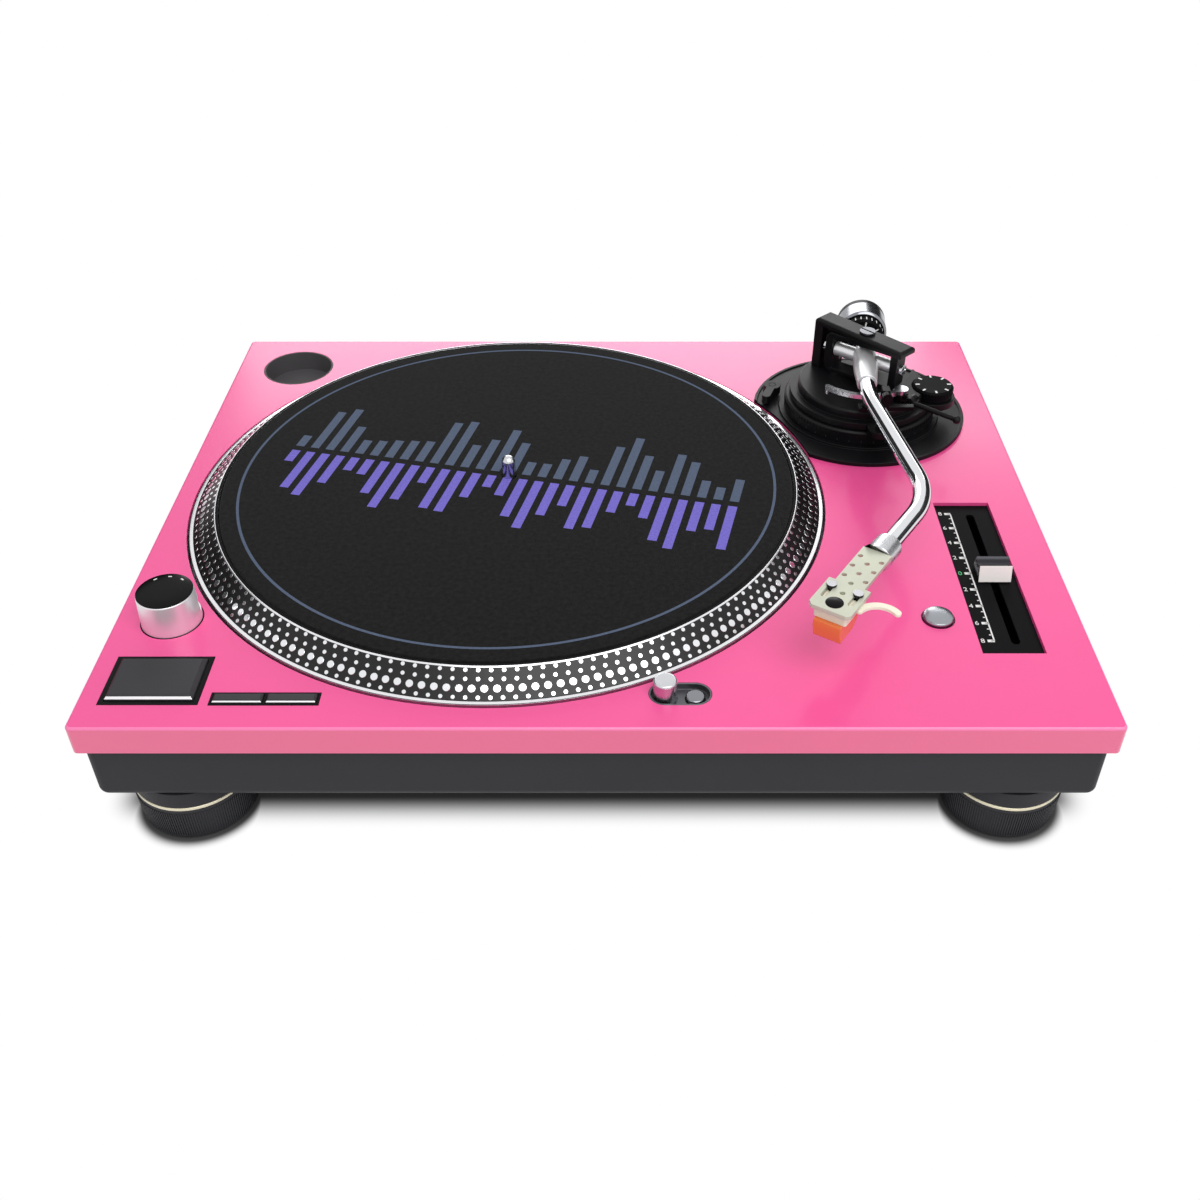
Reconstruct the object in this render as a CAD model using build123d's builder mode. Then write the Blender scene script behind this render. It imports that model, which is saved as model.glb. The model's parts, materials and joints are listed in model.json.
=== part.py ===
"""Direct-drive turntable with an S-shaped tonearm, built from separate pieces.

Millimetres, +Z up, +X to the right and the front towards -Y. The origin is on the surface that
the feet stand on, under the middle of the deck.
"""
import os
from math import atan2, cos, degrees, radians, sin

from build123d import *

# Clearances shared by the whole assembly
running_gap = 0.05
sliding_gap = 0.3
seat_gap = 0.1

# Platter and its well
platter_radius = 166.0
platter_flange = 3.5
flange_rise = 0.6
flange_lip = 2.4
rim_rise = 9.6
rim_slope = 12.1
rim_land = 1.7
rim_skirt = 5.0
rim_thickness = 24.0
web_thickness = 4.0
hub_radius = 18.0
hub_depth = 13.0
mat_thickness = 2.3
mat_lip = 0.6
mat_recess = 2.1
well_gap = 1.2
well_depth = 11.0

# Cabinet
rim_left = 10.4
rim_right = 17.3
rim_front = 12.6
rim_back = 6.0
deck_skin = 2.5
deck_corner = 2.5
deck_edge = 1.4
skirt_height = 15.0
frame_wall = 5.0
frame_skin = 4.0
well_wall = 3.0
rib_thickness = 3.0
rib_pitch = 62.0
pit_radius = 70.0
pit_depth = 14.0
base_height = 31.0
base_inset = 3.0
base_wall = 8.0
base_floor = 5.0
base_corner = 4.0
base_round = 5.0
foot_height = 29.0
foot_radius = 27.5
foot_inset_x = 36.5
foot_inset_y = 30.5
foot_ring_height = 19.6
foot_ring_width = 1.6
foot_groove = 0.9
foot_toe = 2.5
foot_toe_height = 1.5
foot_collar_step = 0.4
foot_draft = 0.8
foot_stud_radius = 5.0
foot_stud_length = 13.0

# Spindle, bearing and motor
spindle_radius = 3.575
spindle_neck = 0.5
spindle_reach = 12.0
shaft_radius = 5.0
shaft_edge = 1.0
bearing_radius = 9.0
bearing_flange = 20.0
bearing_flange_height = 3.0
bearing_length = 27.0
bearing_clearance = 0.6
thrust_plate = 3.0
stator_bore = 24.0
stator_yoke = 6.0
stator_height = 9.0
stator_top_gap = 4.0
stator_poles = 12
pole_width = 5.0
shoe_depth = 3.0
shoe_slot = 4.0
magnet_bore = 60.0
magnet_air_gap = 2.5
magnet_thickness = 10.0
magnet_height = 13.0
coil_build = 2.0
coil_end_gap = 1.5

# Tonearm geometry
pivot_clearance = 49.0
pivot_bearing = 23.26
stylus_overhang = 15.0
offset_angle = 22.0
rest_angle = -101.2
arm_height = 35.0
sleeve_angle = 5.7
middle_angle = 20.0
first_straight = 44.3
first_bend = 100.0
second_bend = 50.0
tube_radius = 4.5
tube_wall = 0.8
sleeve_radius = 6.65
sleeve_nose = 5.4
sleeve_length = 31.0
sleeve_tail = 6.0
tube_socket = 11.0
shaft_reach = 54.0
rear_shaft_radius = 4.0
tilt_axis_angle = 141.8
cross_bar_radius = 4.0

# Gimbal, bridge and arm base
gimbal_half_width = 23.0
gimbal_side = 4.5
gimbal_depth = 10.0
gimbal_top = 11.0
gimbal_bottom = 13.0
gimbal_bar = 2.6
gimbal_round = 4.0
gimbal_pin_radius = 4.0
gimbal_pin_depth = 6.0
pivot_point_radius = 1.5
pivot_point_length = 3.0
bridge_angle = 132.8
bridge_pillar = 5.8
bridge_gap = 3.6
bridge_width = 13.0
bridge_beam = 3.6
bridge_reach = 28.5
bridge_round = 2.0
bearing_screw_radius = 2.5
bearing_head_radius = 4.5
bearing_head_height = 1.5
tilt_screw_radius = 2.0
tilt_head_radius = 3.2
tilt_head_height = 2.2
screw_slot = 0.9
arm_plate_radius = 60.6
arm_plate_thickness = 1.6
arm_plate_rim = 1.8
arm_plate_rim_height = 0.8
arm_boss_radius = 46.0
arm_boss_height = 1.4
arm_housing_radius = 43.7
arm_housing_depth = 25.0
stem_radius = 30.0
stem_bore = 20.0
stem_depth = 20.0
height_ring_radius = 43.0
height_ring_height = 8.0
platform_radius = 36.0
platform_height = 5.0
platform_skirt_radius = 40.5
platform_skirt = 3.8
platform_edge = 1.0
weight_relief = 15.4
skirt_relief = 21.5
relief_width = 45.0
swing_range = 42.0
rest_distance = 44.0
rest_lobe = 7.0
rest_wall = 4.1
rest_wall_gap = 2.6
rest_length = 6.0
rest_drop = 1.9
rest_floor = 2.2
clamp_pin_radius = 1.5
clamp_hub_radius = 3.0
clamp_hub_length = 3.4
clamp_reach = 15.0
clamp_bar = 2.5
clamp_rise = 4.2
antiskate_distance = 40.6
antiskate_angle = -9.9
antiskate_radius = 11.4
antiskate_height = 6.2
antiskate_lobe = 13.0
antiskate_pin = 3.0
cue_distance = 29.0
cue_angle = -50.0
cue_span = 90.0
cue_bar_width = 2.8
cue_bar_height = 2.4
cue_bar_gap = 2.2
cue_post_radius = 4.0
cue_rod_radius = 1.6
cue_tab = 5.0
cue_lever_angle = -41.0
cue_lever_length = 27.0
cue_lever_radius = 1.4
cue_lever_knob = 2.3
cue_hub_radius = 3.0
cue_hub_width = 3.0
cue_pin_radius = 1.5
cue_ear_reach = 8.0
lock_distance = 52.0
lock_angle = 160.0
lock_pin_radius = 2.0
lock_hub_radius = 5.0
lock_height = 5.0
lock_reach = 13.0
lock_width = 5.0

# Counterweight
weight_radius = 14.2
weight_length = 18.0
weight_centre = 37.0
weight_edge = 1.2
dial_radius = 12.2
dial_length = 6.0
bush_radius = 6.5

# Headshell and cartridge
tip_setback = 40.1
tip_height = 19.0
shell_rise = 5.0
shell_length = 50.4
shell_neck_length = 29.0
shell_neck_width = 14.0
shell_width = 20.0
shell_thickness = 2.2
shell_chamfer = 2.0
shell_hole = 1.15
shell_hole_pitch = 8.3
shell_hole_first = 7.4
shell_hole_offset = 5.1
shell_slot_spacing = 12.7
shell_slot_length = 12.0
shell_slot_width = 2.6
shell_slot_centre = 37.0
plug_radius = 4.4
plug_length = 6.0
collar_radius = 6.6
collar_length = 14.0
collar_chamfer = 1.2
lift_width = 3.2
lift_thickness = 1.5
lift_reach = 14.5
lift_sweep = 7.0
lift_setback = 10.4
cartridge_width = 15.6
cartridge_length = 22.0
cartridge_height = 5.6
cartridge_front = 48.0
cartridge_round = 1.2
grip_width = 13.0
grip_length = 19.0
grip_height = 11.2
grip_front = 50.0
grip_chamfer = 1.5
cantilever_radius = 0.5
cantilever_length = 7.0
cartridge_screw_setback = 6.0
cartridge_screw_radius = 1.2
cartridge_screw_head = 2.3
cartridge_screw_head_height = 1.3

# Controls
start_from_left = 31.5
start_from_front = 30.5
start_width = 44.0
start_depth = 32.0
start_frame = 2.4
start_rise = 2.6
start_bevel = 1.8
start_travel = 2.5
speed_from_left = 81.9
speed_from_front = 18.4
speed_width = 48.2
speed_depth = 8.5
speed_frame = 1.2
speed_rise = 1.5
speed_bevel = 1.0
speed_travel = 1.5
plunger_radius = 1.75
plunger_height = 1.0
button_stem = 1.0
switch_size = 6.0
switch_height = 4.0
board_thickness = 1.6
power_from_left = 26.5
power_from_front = 73.0
power_radius = 14.0
power_top_radius = 13.2
power_height = 17.0
power_roof = 4.0
power_recess = 11.6
power_recess_depth = 0.8
power_edge = 0.8
power_window = 1.0
tower_radius = 10.9
tower_flange_height = 2.0
tower_height = 11.5
strobe_width = 6.0
strobe_height = 4.0
strobe_depth = 4.0
strobe_level = 6.5
lamp_offset = 85.4
lamp_from_front = 21.8
lamp_dish_length = 28.0
lamp_dish_width = 14.7
lamp_dish_depth = 3.2
lamp_dish_wall = 1.0
lamp_dish_floor = 0.8
lamp_spacing = 13.4
lamp_radius = 5.2
lamp_rise = 8.3
lamp_length = 37.0
lamp_edge = 1.0
lamp_eye_radius = 2.2
lamp_eye_drop = 4.2
lamp_eye_depth = 2.6
lamp_guide_wall = 1.6
lamp_guide_depth = 23.0
release_radius = 4.2
release_rise = 2.0
release_length = 12.0
release_edge = 0.5
reset_from_right = 67.2
reset_from_front = 73.7
reset_radius = 7.1
reset_hole = 7.9
reset_rise = 2.0
reset_length = 11.0
reset_edge = 1.2
pitch_from_right = 37.1
pitch_from_front = 109.1
pitch_width = 29.0
pitch_length = 121.0
pitch_recess = 1.8
pitch_panel_thickness = 1.7
pitch_slot_offset = 3.2
pitch_slot_width = 4.0
pitch_travel = 48.0
pitch_stem_width = 2.4
pitch_stem_length = 6.0
rail_width = 16.0
rail_depth = 13.0
rail_wall = 1.5
rail_end_gap = 0.5
slot_end_gap = 1.0
carriage_length = 14.0
carriage_height = 8.0
pitch_knob_width = 16.0
pitch_knob_length = 13.0
pitch_knob_height = 8.2
pitch_knob_crown = 8.0
pitch_knob_dish = 1.6
adaptor_from_left = 37.1
adaptor_from_back = 35.7
adaptor_hole = 21.0
adaptor_wall = 1.0
adaptor_depth = 12.0
adaptor_floor = 2.0
adaptor_flange = 3.0
adaptor_flange_height = 1.5

# Inside the base and at the back
transformer_size = (70.0, 52.0, 20.0)
transformer_from_left = 100.0
transformer_from_back = 52.0
transformer_bobbin = 12.0
transformer_edge = 1.5
drive_board_size = (150.0, 56.0)
drive_board_from_right = 160.0
drive_board_from_front = 62.0
drive_board_boss = 6.0
drive_board_boss_radius = 4.0
heat_sink_fins = 4
heat_sink_size = (40.0, 10.0, 12.0)
capacitor_radius = 6.0
capacitor_height = 12.0
gland_bore = 3.2
gland_radius = 5.5
gland_flange = 8.0
gland_flange_length = 2.4
gland_length = 14.0
gland_height = 14.0
power_gland_from_left = 70.0
phono_gland_from_right = 80.0


def polar(point, radius, angle):
    """The plan point at a distance and a bearing, in degrees, from another one."""
    return (point[0] + radius * cos(radians(angle)), point[1] + radius * sin(radians(angle)))


def upright(point):
    """A vertical plane through a plan point: local x runs to the right, local y runs up."""
    return Plane(origin=(*point, 0), x_dir=(1, 0, 0), z_dir=(0, -1, 0))


def along(point, angle, height):
    """A vertical plane that starts at a point and runs along a bearing, with local y up."""
    heading = (cos(radians(angle)), sin(radians(angle)), 0)
    return Plane(origin=(*point, height), x_dir=heading, z_dir=(heading[1], -heading[0], 0))


def across(point, angle, height):
    """The plane square to a bearing at a point, facing along that bearing."""
    heading = (cos(radians(angle)), sin(radians(angle)), 0)
    return Plane(origin=(*point, height), x_dir=(-heading[1], heading[0], 0), z_dir=heading)


def level(point, angle, height):
    """A horizontal plane at a point whose local x runs along a bearing."""
    heading = (cos(radians(angle)), sin(radians(angle)), 0)
    return Plane(origin=(*point, height), x_dir=heading, z_dir=(0, 0, 1))


def vertical_axis(point):
    """The upright axis through a plan point."""
    return Axis((*point, 0), (0, 0, 1))


def crossing(start, angle, other, other_angle):
    """The plan point where two straight lines, each a point and a bearing, cross."""
    ax, ay = cos(radians(angle)), sin(radians(angle))
    bx, by = cos(radians(other_angle)), sin(radians(other_angle))
    dx, dy = other[0] - start[0], other[1] - start[1]
    run = (dx * by - dy * bx) / (ax * by - ay * bx)
    return (start[0] + run * ax, start[1] + run * ay)


def save(builder, node):
    """Label a finished piece and write it to its own file."""
    builder.part.label = node
    export_step(builder.part, f"parts/{node}.step")


os.makedirs("parts", exist_ok=True)

# Heights of the main levels above the surface that the turntable stands on
base_bottom = foot_height
base_top = base_bottom + base_height
deck_top = base_top + skirt_height
deck_under = deck_top - deck_skin
frame_under = deck_under - frame_skin
well_floor = deck_top - well_depth
pit_floor = well_floor - pit_depth
tub_floor = base_bottom + base_floor

# Plan layout, worked out from the platter, the arm and the rims around them
well_radius = platter_radius + well_gap
pivot_distance = platter_radius + pivot_clearance
effective_length = pivot_distance + stylus_overhang
pivot_run = pivot_distance * cos(radians(pivot_bearing))
deck_width = rim_left + well_radius + pivot_run + arm_plate_radius + rim_right
deck_depth = rim_front + 2 * well_radius + rim_back
left, right = -deck_width / 2, deck_width / 2
front, back = -deck_depth / 2, deck_depth / 2
spindle_at = (left + rim_left + well_radius, front + rim_front + well_radius)
pivot_at = polar(spindle_at, pivot_distance, pivot_bearing)
start_at = (left + start_from_left, front + start_from_front)
speed_at = (left + speed_from_left, front + speed_from_front)
power_at = (left + power_from_left, front + power_from_front)
dish_at = (spindle_at[0] + lamp_offset, front + lamp_from_front)
lamp_at = (dish_at[0] - lamp_spacing / 2, dish_at[1])
release_at = (dish_at[0] + lamp_spacing / 2, dish_at[1])
reset_at = (right - reset_from_right, front + reset_from_front)
pitch_at = (right - pitch_from_right, front + pitch_from_front)
slot_at = (pitch_at[0] + pitch_slot_offset, pitch_at[1])
adaptor_at = (left + adaptor_from_left, back - adaptor_from_back)
foot_at = {
    "front_left": (left + foot_inset_x, front + foot_inset_y),
    "front_right": (right - foot_inset_x, front + foot_inset_y),
    "rear_left": (left + foot_inset_x, back - foot_inset_y),
    "rear_right": (right - foot_inset_x, back - foot_inset_y),
}
button_slot = (speed_width - 3 * speed_frame) / 2
button_at = [(speed_at[0] + side * (button_slot + speed_frame) / 2, speed_at[1]) for side in (-1, 1)]
arm_hole = arm_housing_radius + sliding_gap
lamp_hole = lamp_radius + sliding_gap
release_hole = release_radius + sliding_gap
frame_width = deck_width - 2 * (deck_skin + sliding_gap)
frame_depth = deck_depth - 2 * (deck_skin + sliding_gap)
base_width = deck_width - 2 * base_inset
base_depth = deck_depth - 2 * base_inset
switch_board_depth = start_depth + 3 * frame_wall
rail_length = 2 * (pitch_travel + rail_wall + rail_end_gap) + carriage_length
slot_length = 2 * (pitch_travel + slot_end_gap) + pitch_stem_length
guide_radius = lamp_radius + running_gap + lamp_guide_wall

# Pressed deck plate with its skirt and the openings for everything that comes up through it
with BuildPart() as deck_plate:
    with BuildSketch(Plane.XY.offset(base_top)):
        RectangleRounded(deck_width, deck_depth, deck_corner)
    extrude(amount=skirt_height)
    fillet(deck_plate.faces().sort_by(Axis.Z)[-1].edges(), deck_edge)
    with BuildSketch(Plane.XY.offset(base_top)):
        Rectangle(deck_width - 2 * deck_skin, deck_depth - 2 * deck_skin)
    extrude(amount=skirt_height - deck_skin, mode=Mode.SUBTRACT)
    with BuildSketch(Plane.XY.offset(deck_under)):
        with Locations(spindle_at):
            Circle(well_radius)
        with Locations(pivot_at):
            Circle(arm_hole)
        with Locations(start_at):
            Rectangle(start_width, start_depth)
        with Locations(speed_at):
            Rectangle(speed_width, speed_depth)
        with Locations(power_at):
            Circle(power_radius + 2 * sliding_gap)
        with Locations(dish_at):
            SlotOverall(lamp_dish_length, lamp_dish_width)
        with Locations(reset_at):
            Circle(reset_hole)
        with Locations(pitch_at):
            Rectangle(pitch_width, pitch_length)
        with Locations(adaptor_at):
            Circle(adaptor_hole)
    extrude(amount=deck_skin, mode=Mode.SUBTRACT)
save(deck_plate, "deck_plate")

# Die-cast frame under the deck: platter well, motor pit, ribs and the seats of the controls
with BuildPart() as chassis:
    with BuildSketch(Plane.XY.offset(base_top)):
        Rectangle(frame_width, frame_depth)
    extrude(amount=deck_under - base_top)
    with BuildSketch(Plane.XY.offset(base_top)):
        Rectangle(frame_width - 2 * frame_wall, frame_depth - 2 * frame_wall)
        with GridLocations(rib_pitch, 0, int(frame_width / rib_pitch), 1):
            Rectangle(rib_thickness, frame_depth, mode=Mode.SUBTRACT)
        with GridLocations(0, rib_pitch, 1, int(frame_depth / rib_pitch)):
            Rectangle(frame_width, rib_thickness, mode=Mode.SUBTRACT)
        with Locations(start_at):
            Rectangle(start_width, switch_board_depth)
        with Locations(speed_at):
            Rectangle(speed_width + 2 * frame_wall, speed_depth + 2 * frame_wall)
        with Locations(spindle_at):
            Circle(well_radius + well_wall, mode=Mode.SUBTRACT)
        with Locations(pivot_at):
            Circle(arm_hole + frame_wall, mode=Mode.SUBTRACT)
        with Locations(adaptor_at):
            Circle(adaptor_hole + frame_wall, mode=Mode.SUBTRACT)
        with Locations(reset_at):
            Circle(reset_hole + frame_wall, mode=Mode.SUBTRACT)
    extrude(amount=frame_under - base_top, mode=Mode.SUBTRACT)
    with BuildSketch(Plane.XY.offset(well_floor)):
        with Locations(spindle_at):
            Circle(well_radius)
    extrude(amount=deck_under - well_floor, mode=Mode.SUBTRACT)
    with BuildSketch(Plane.XY.offset(pit_floor - well_wall)):
        with Locations(spindle_at):
            Circle(pit_radius + well_wall)
    extrude(amount=well_floor - pit_floor + well_wall)
    with BuildSketch(Plane.XY.offset(pit_floor)):
        with Locations(spindle_at):
            Circle(pit_radius)
    extrude(amount=well_floor - pit_floor, mode=Mode.SUBTRACT)
    with BuildSketch(Plane.XY.offset(frame_under - lamp_guide_depth)):
        with Locations(lamp_at):
            Circle(guide_radius)
    extrude(amount=lamp_guide_depth)
    with BuildSketch(Plane.XY.offset(pit_floor - well_wall)):
        with Locations(spindle_at):
            Circle(bearing_radius + sliding_gap)
        with Locations(pivot_at):
            Circle(arm_hole)
        with Locations(start_at):
            Rectangle(start_width - 2 * start_frame, start_depth - 2 * start_frame)
        with Locations(*button_at):
            Rectangle(button_slot, speed_depth - 2 * speed_frame)
        with Locations(reset_at):
            Circle(reset_radius + sliding_gap)
        with Locations(release_at):
            Circle(release_hole)
        with Locations(adaptor_at):
            Circle(adaptor_hole + sliding_gap)
        with Locations(slot_at):
            Rectangle(rail_width + 2 * sliding_gap, rail_length + 2 * sliding_gap)
    extrude(amount=deck_under - pit_floor + well_wall, mode=Mode.SUBTRACT)
    with BuildSketch(Plane.XY.offset(frame_under - lamp_guide_depth)):
        with Locations(lamp_at):
            Circle(lamp_radius + running_gap)
    extrude(amount=deck_under - frame_under + lamp_guide_depth, mode=Mode.SUBTRACT)
    with BuildSketch(Plane.XY.offset(deck_top - lamp_dish_depth - lamp_dish_floor)):
        with Locations(dish_at):
            SlotOverall(lamp_dish_length, lamp_dish_width)
    extrude(amount=deck_skin + lamp_dish_depth, mode=Mode.SUBTRACT)
    with BuildSketch(Plane.XY.offset(deck_top - pitch_recess - pitch_panel_thickness)):
        with Locations(pitch_at):
            Rectangle(pitch_width, pitch_length)
    extrude(amount=deck_skin + pitch_panel_thickness, mode=Mode.SUBTRACT)
    with BuildSketch(Plane.XY.offset(deck_under - adaptor_flange_height)):
        with Locations(adaptor_at):
            Circle(adaptor_hole + adaptor_flange + sliding_gap)
    extrude(amount=adaptor_flange_height, mode=Mode.SUBTRACT)
save(chassis, "chassis")

# Heavy moulded base, open at the top, with the bosses of the drive board and the cable holes
board_at = (right - drive_board_from_right, front + drive_board_from_front)
gland_level = base_bottom + gland_height
gland_at = [left + power_gland_from_left, right - phono_gland_from_right]
base_back = base_depth / 2
with BuildPart() as base_tub:
    with BuildSketch(Plane.XY.offset(base_bottom)):
        RectangleRounded(base_width, base_depth, base_corner)
    extrude(amount=base_height)
    fillet(base_tub.faces().sort_by(Axis.Z)[0].edges(), base_round)
    with BuildSketch(Plane.XY.offset(tub_floor)):
        Rectangle(base_width - 2 * base_wall, base_depth - 2 * base_wall)
    extrude(amount=base_height - base_floor, mode=Mode.SUBTRACT)
    with BuildSketch(Plane.XY.offset(tub_floor)):
        with Locations(board_at):
            with GridLocations(
                drive_board_size[0] - 4 * drive_board_boss_radius,
                drive_board_size[1] - 4 * drive_board_boss_radius,
                2,
                2,
            ):
                Circle(drive_board_boss_radius)
    extrude(amount=drive_board_boss)
    with BuildSketch(Plane.XY.offset(base_bottom)):
        with Locations(*foot_at.values()):
            Circle(foot_stud_radius + running_gap)
    extrude(amount=base_floor, mode=Mode.SUBTRACT)
    with BuildSketch(upright((0, base_back))):
        with Locations(*[(x, gland_level) for x in gland_at]):
            Circle(gland_radius + seat_gap)
    extrude(amount=base_wall, mode=Mode.SUBTRACT)
save(base_tub, "base_tub")

# Four adjustable feet, each with a threaded stud in the base floor
for corner, at in foot_at.items():
    with BuildPart() as foot:
        with BuildSketch(upright(at)):
            with BuildLine():
                ring_top = foot_ring_height + foot_ring_width
                Polyline(
                    (0, 0),
                    (foot_radius - foot_toe, 0),
                    (foot_radius - foot_draft, foot_toe_height),
                    (foot_radius, foot_ring_height),
                    (foot_radius - foot_groove, foot_ring_height),
                    (foot_radius - foot_groove, ring_top),
                    (foot_radius - foot_collar_step, ring_top),
                    (foot_radius - foot_collar_step - foot_draft, foot_height),
                    (foot_stud_radius, foot_height),
                    (foot_stud_radius, foot_height + foot_stud_length),
                    (0, foot_height + foot_stud_length),
                    close=True,
                )
            make_face()
        revolve(axis=vertical_axis(at))
    save(foot, f"foot_{corner}")

# Cast platter: flange, dotted slope, raised land round the mat, web, heavy rim and hub
flange_top = deck_top + flange_rise
land_top = flange_top + rim_rise
mat_floor = land_top - mat_recess
web_under = mat_floor - web_thickness
flange_under = flange_top - platter_flange
slope_foot = platter_radius - flange_lip
slope_head = slope_foot - rim_slope
recess_radius = slope_head - rim_land
skirt_radius = platter_radius - flange_lip / 2
hub_under = web_under - hub_depth
with BuildPart() as platter:
    with BuildSketch(upright(spindle_at)):
        with BuildLine():
            Polyline(
                (shaft_radius, hub_under),
                (hub_radius, hub_under),
                (hub_radius, web_under),
                (platter_radius - rim_thickness, web_under),
                (platter_radius - rim_thickness, flange_under - rim_skirt),
                (skirt_radius, flange_under - rim_skirt),
                (skirt_radius, flange_under),
                (platter_radius, flange_under),
                (platter_radius, flange_top),
                (slope_foot, flange_top),
                (slope_head, land_top),
                (recess_radius, land_top),
                (recess_radius, mat_floor),
                (shaft_radius, mat_floor),
                close=True,
            )
        make_face()
    revolve(axis=vertical_axis(spindle_at))
save(platter, "platter")

# Felt mat, loose on the platter and round the spindle
mat_under = mat_floor + 2 * seat_gap
mat_top = mat_under + mat_thickness
with BuildPart() as slipmat:
    with BuildSketch(Plane.XY.offset(mat_under)):
        with Locations(spindle_at):
            Circle(recess_radius - mat_lip)
            Circle(spindle_radius + sliding_gap, mode=Mode.SUBTRACT)
    extrude(amount=mat_thickness)
save(slipmat, "slipmat")

# Spindle: shaft in the bearing, seat in the platter hub and the record pin above the mat
bearing_top = hub_under - bearing_clearance
thrust_top = bearing_top - bearing_length + thrust_plate
with BuildPart() as spindle:
    with BuildSketch(upright(spindle_at)):
        with BuildLine():
            pin_top = mat_top + spindle_reach - spindle_radius
            outline = Polyline(
                (0, pin_top + spindle_radius),
                (0, thrust_top + seat_gap),
                (shaft_radius - shaft_edge, thrust_top + seat_gap),
                (shaft_radius - running_gap, thrust_top + seat_gap + shaft_edge),
                (shaft_radius - running_gap, mat_floor),
                (spindle_radius - spindle_neck, mat_floor),
                (spindle_radius - spindle_neck, mat_top + sliding_gap),
                (spindle_radius, mat_top + sliding_gap),
                (spindle_radius, pin_top),
            )
            TangentArc(outline @ 1, outline @ 0, tangent=(0, 1))
        make_face()
    revolve(axis=vertical_axis(spindle_at))
save(spindle, "spindle")

# Bearing housing with its thrust plate, bolted to the floor of the motor pit
with BuildPart() as main_bearing:
    with BuildSketch(upright(spindle_at)):
        with BuildLine():
            Polyline(
                (0, thrust_top - thrust_plate),
                (bearing_radius, thrust_top - thrust_plate),
                (bearing_radius, pit_floor),
                (bearing_flange, pit_floor),
                (bearing_flange, pit_floor + bearing_flange_height),
                (bearing_radius, pit_floor + bearing_flange_height),
                (bearing_radius, bearing_top),
                (shaft_radius, bearing_top),
                (shaft_radius, thrust_top),
                (0, thrust_top),
                close=True,
            )
        make_face()
    revolve(axis=vertical_axis(spindle_at))
save(main_bearing, "main_bearing")

# Motor: laminated stator on its support ring, one winding per pole, ring magnet on the platter
stator_top = web_under - stator_top_gap
stator_under = stator_top - stator_height
stator_radius = magnet_bore - magnet_air_gap
pole_root = stator_bore + stator_yoke
pole_end = stator_radius - shoe_depth
with BuildPart() as stator_core:
    with BuildSketch(Plane.XY.offset(stator_under)):
        with Locations(spindle_at):
            Circle(stator_radius)
            Circle(pole_end, mode=Mode.SUBTRACT)
            with PolarLocations(stator_radius, stator_poles, start_angle=180 / stator_poles):
                Rectangle(4 * shoe_depth, shoe_slot, mode=Mode.SUBTRACT)
            with PolarLocations((pole_root + pole_end) / 2, stator_poles):
                Rectangle(pole_end - pole_root + shoe_depth, pole_width)
            Circle(pole_root)
            Circle(stator_bore, mode=Mode.SUBTRACT)
    extrude(amount=stator_height)
    with BuildSketch(Plane.XY.offset(pit_floor)):
        with Locations(spindle_at):
            Circle(pole_root)
            Circle(stator_bore, mode=Mode.SUBTRACT)
    extrude(amount=stator_under - pit_floor)
save(stator_core, "stator_core")

coil_length = pole_end - pole_root - 2 * coil_end_gap
with BuildPart() as stator_coils:
    with Locations((*spindle_at, (stator_top + stator_under) / 2)):
        with PolarLocations((pole_root + pole_end) / 2, stator_poles):
            Box(coil_length, pole_width + 2 * coil_build, stator_height + 2 * coil_build)
            Box(
                coil_length,
                pole_width + 2 * seat_gap,
                stator_height + 2 * seat_gap,
                mode=Mode.SUBTRACT,
            )
save(stator_coils, "stator_coils")

with BuildPart() as rotor_magnet:
    with BuildSketch(Plane.XY.offset(web_under - magnet_height)):
        with Locations(spindle_at):
            Circle(magnet_bore + magnet_thickness)
            Circle(magnet_bore, mode=Mode.SUBTRACT)
    extrude(amount=magnet_height)
save(rotor_magnet, "rotor_magnet")

# Power supply and drive board inside the base
transformer_at = (left + transformer_from_left, back - transformer_from_back)
with BuildPart() as power_transformer:
    with BuildSketch(Plane.XY.offset(tub_floor)):
        with Locations(transformer_at):
            Rectangle(transformer_size[0], transformer_size[1])
    extrude(amount=transformer_size[2])
    chamfer(power_transformer.faces().sort_by(Axis.Z)[-1].edges(), transformer_edge)
    with BuildSketch(Plane.XY.offset(tub_floor + transformer_size[2] / 4)):
        with Locations(transformer_at):
            RectangleRounded(
                transformer_size[0] / 2,
                transformer_size[1] + 2 * transformer_bobbin,
                transformer_bobbin / 2,
            )
    extrude(amount=transformer_size[2] / 2)
save(power_transformer, "power_transformer")

board_level = tub_floor + drive_board_boss
capacitor_spacing = drive_board_size[0] / 2 + 4 * capacitor_radius
with BuildPart() as drive_board:
    with BuildSketch(Plane.XY.offset(board_level)):
        with Locations(board_at):
            Rectangle(*drive_board_size)
    extrude(amount=board_thickness)
    with BuildSketch(Plane.XY.offset(board_level + board_thickness)):
        with Locations(board_at):
            with GridLocations(heat_sink_size[1], 0, heat_sink_fins, 1):
                Rectangle(heat_sink_size[1] / 3, heat_sink_size[0])
            Rectangle(heat_sink_fins * heat_sink_size[1], heat_sink_size[1] / 3)
    extrude(amount=heat_sink_size[2])
    with BuildSketch(Plane.XY.offset(board_level + board_thickness)):
        with Locations(board_at):
            with GridLocations(capacitor_spacing, 4 * capacitor_radius, 2, 2):
                Circle(capacitor_radius)
    extrude(amount=capacitor_height)
save(drive_board, "drive_board")

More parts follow.
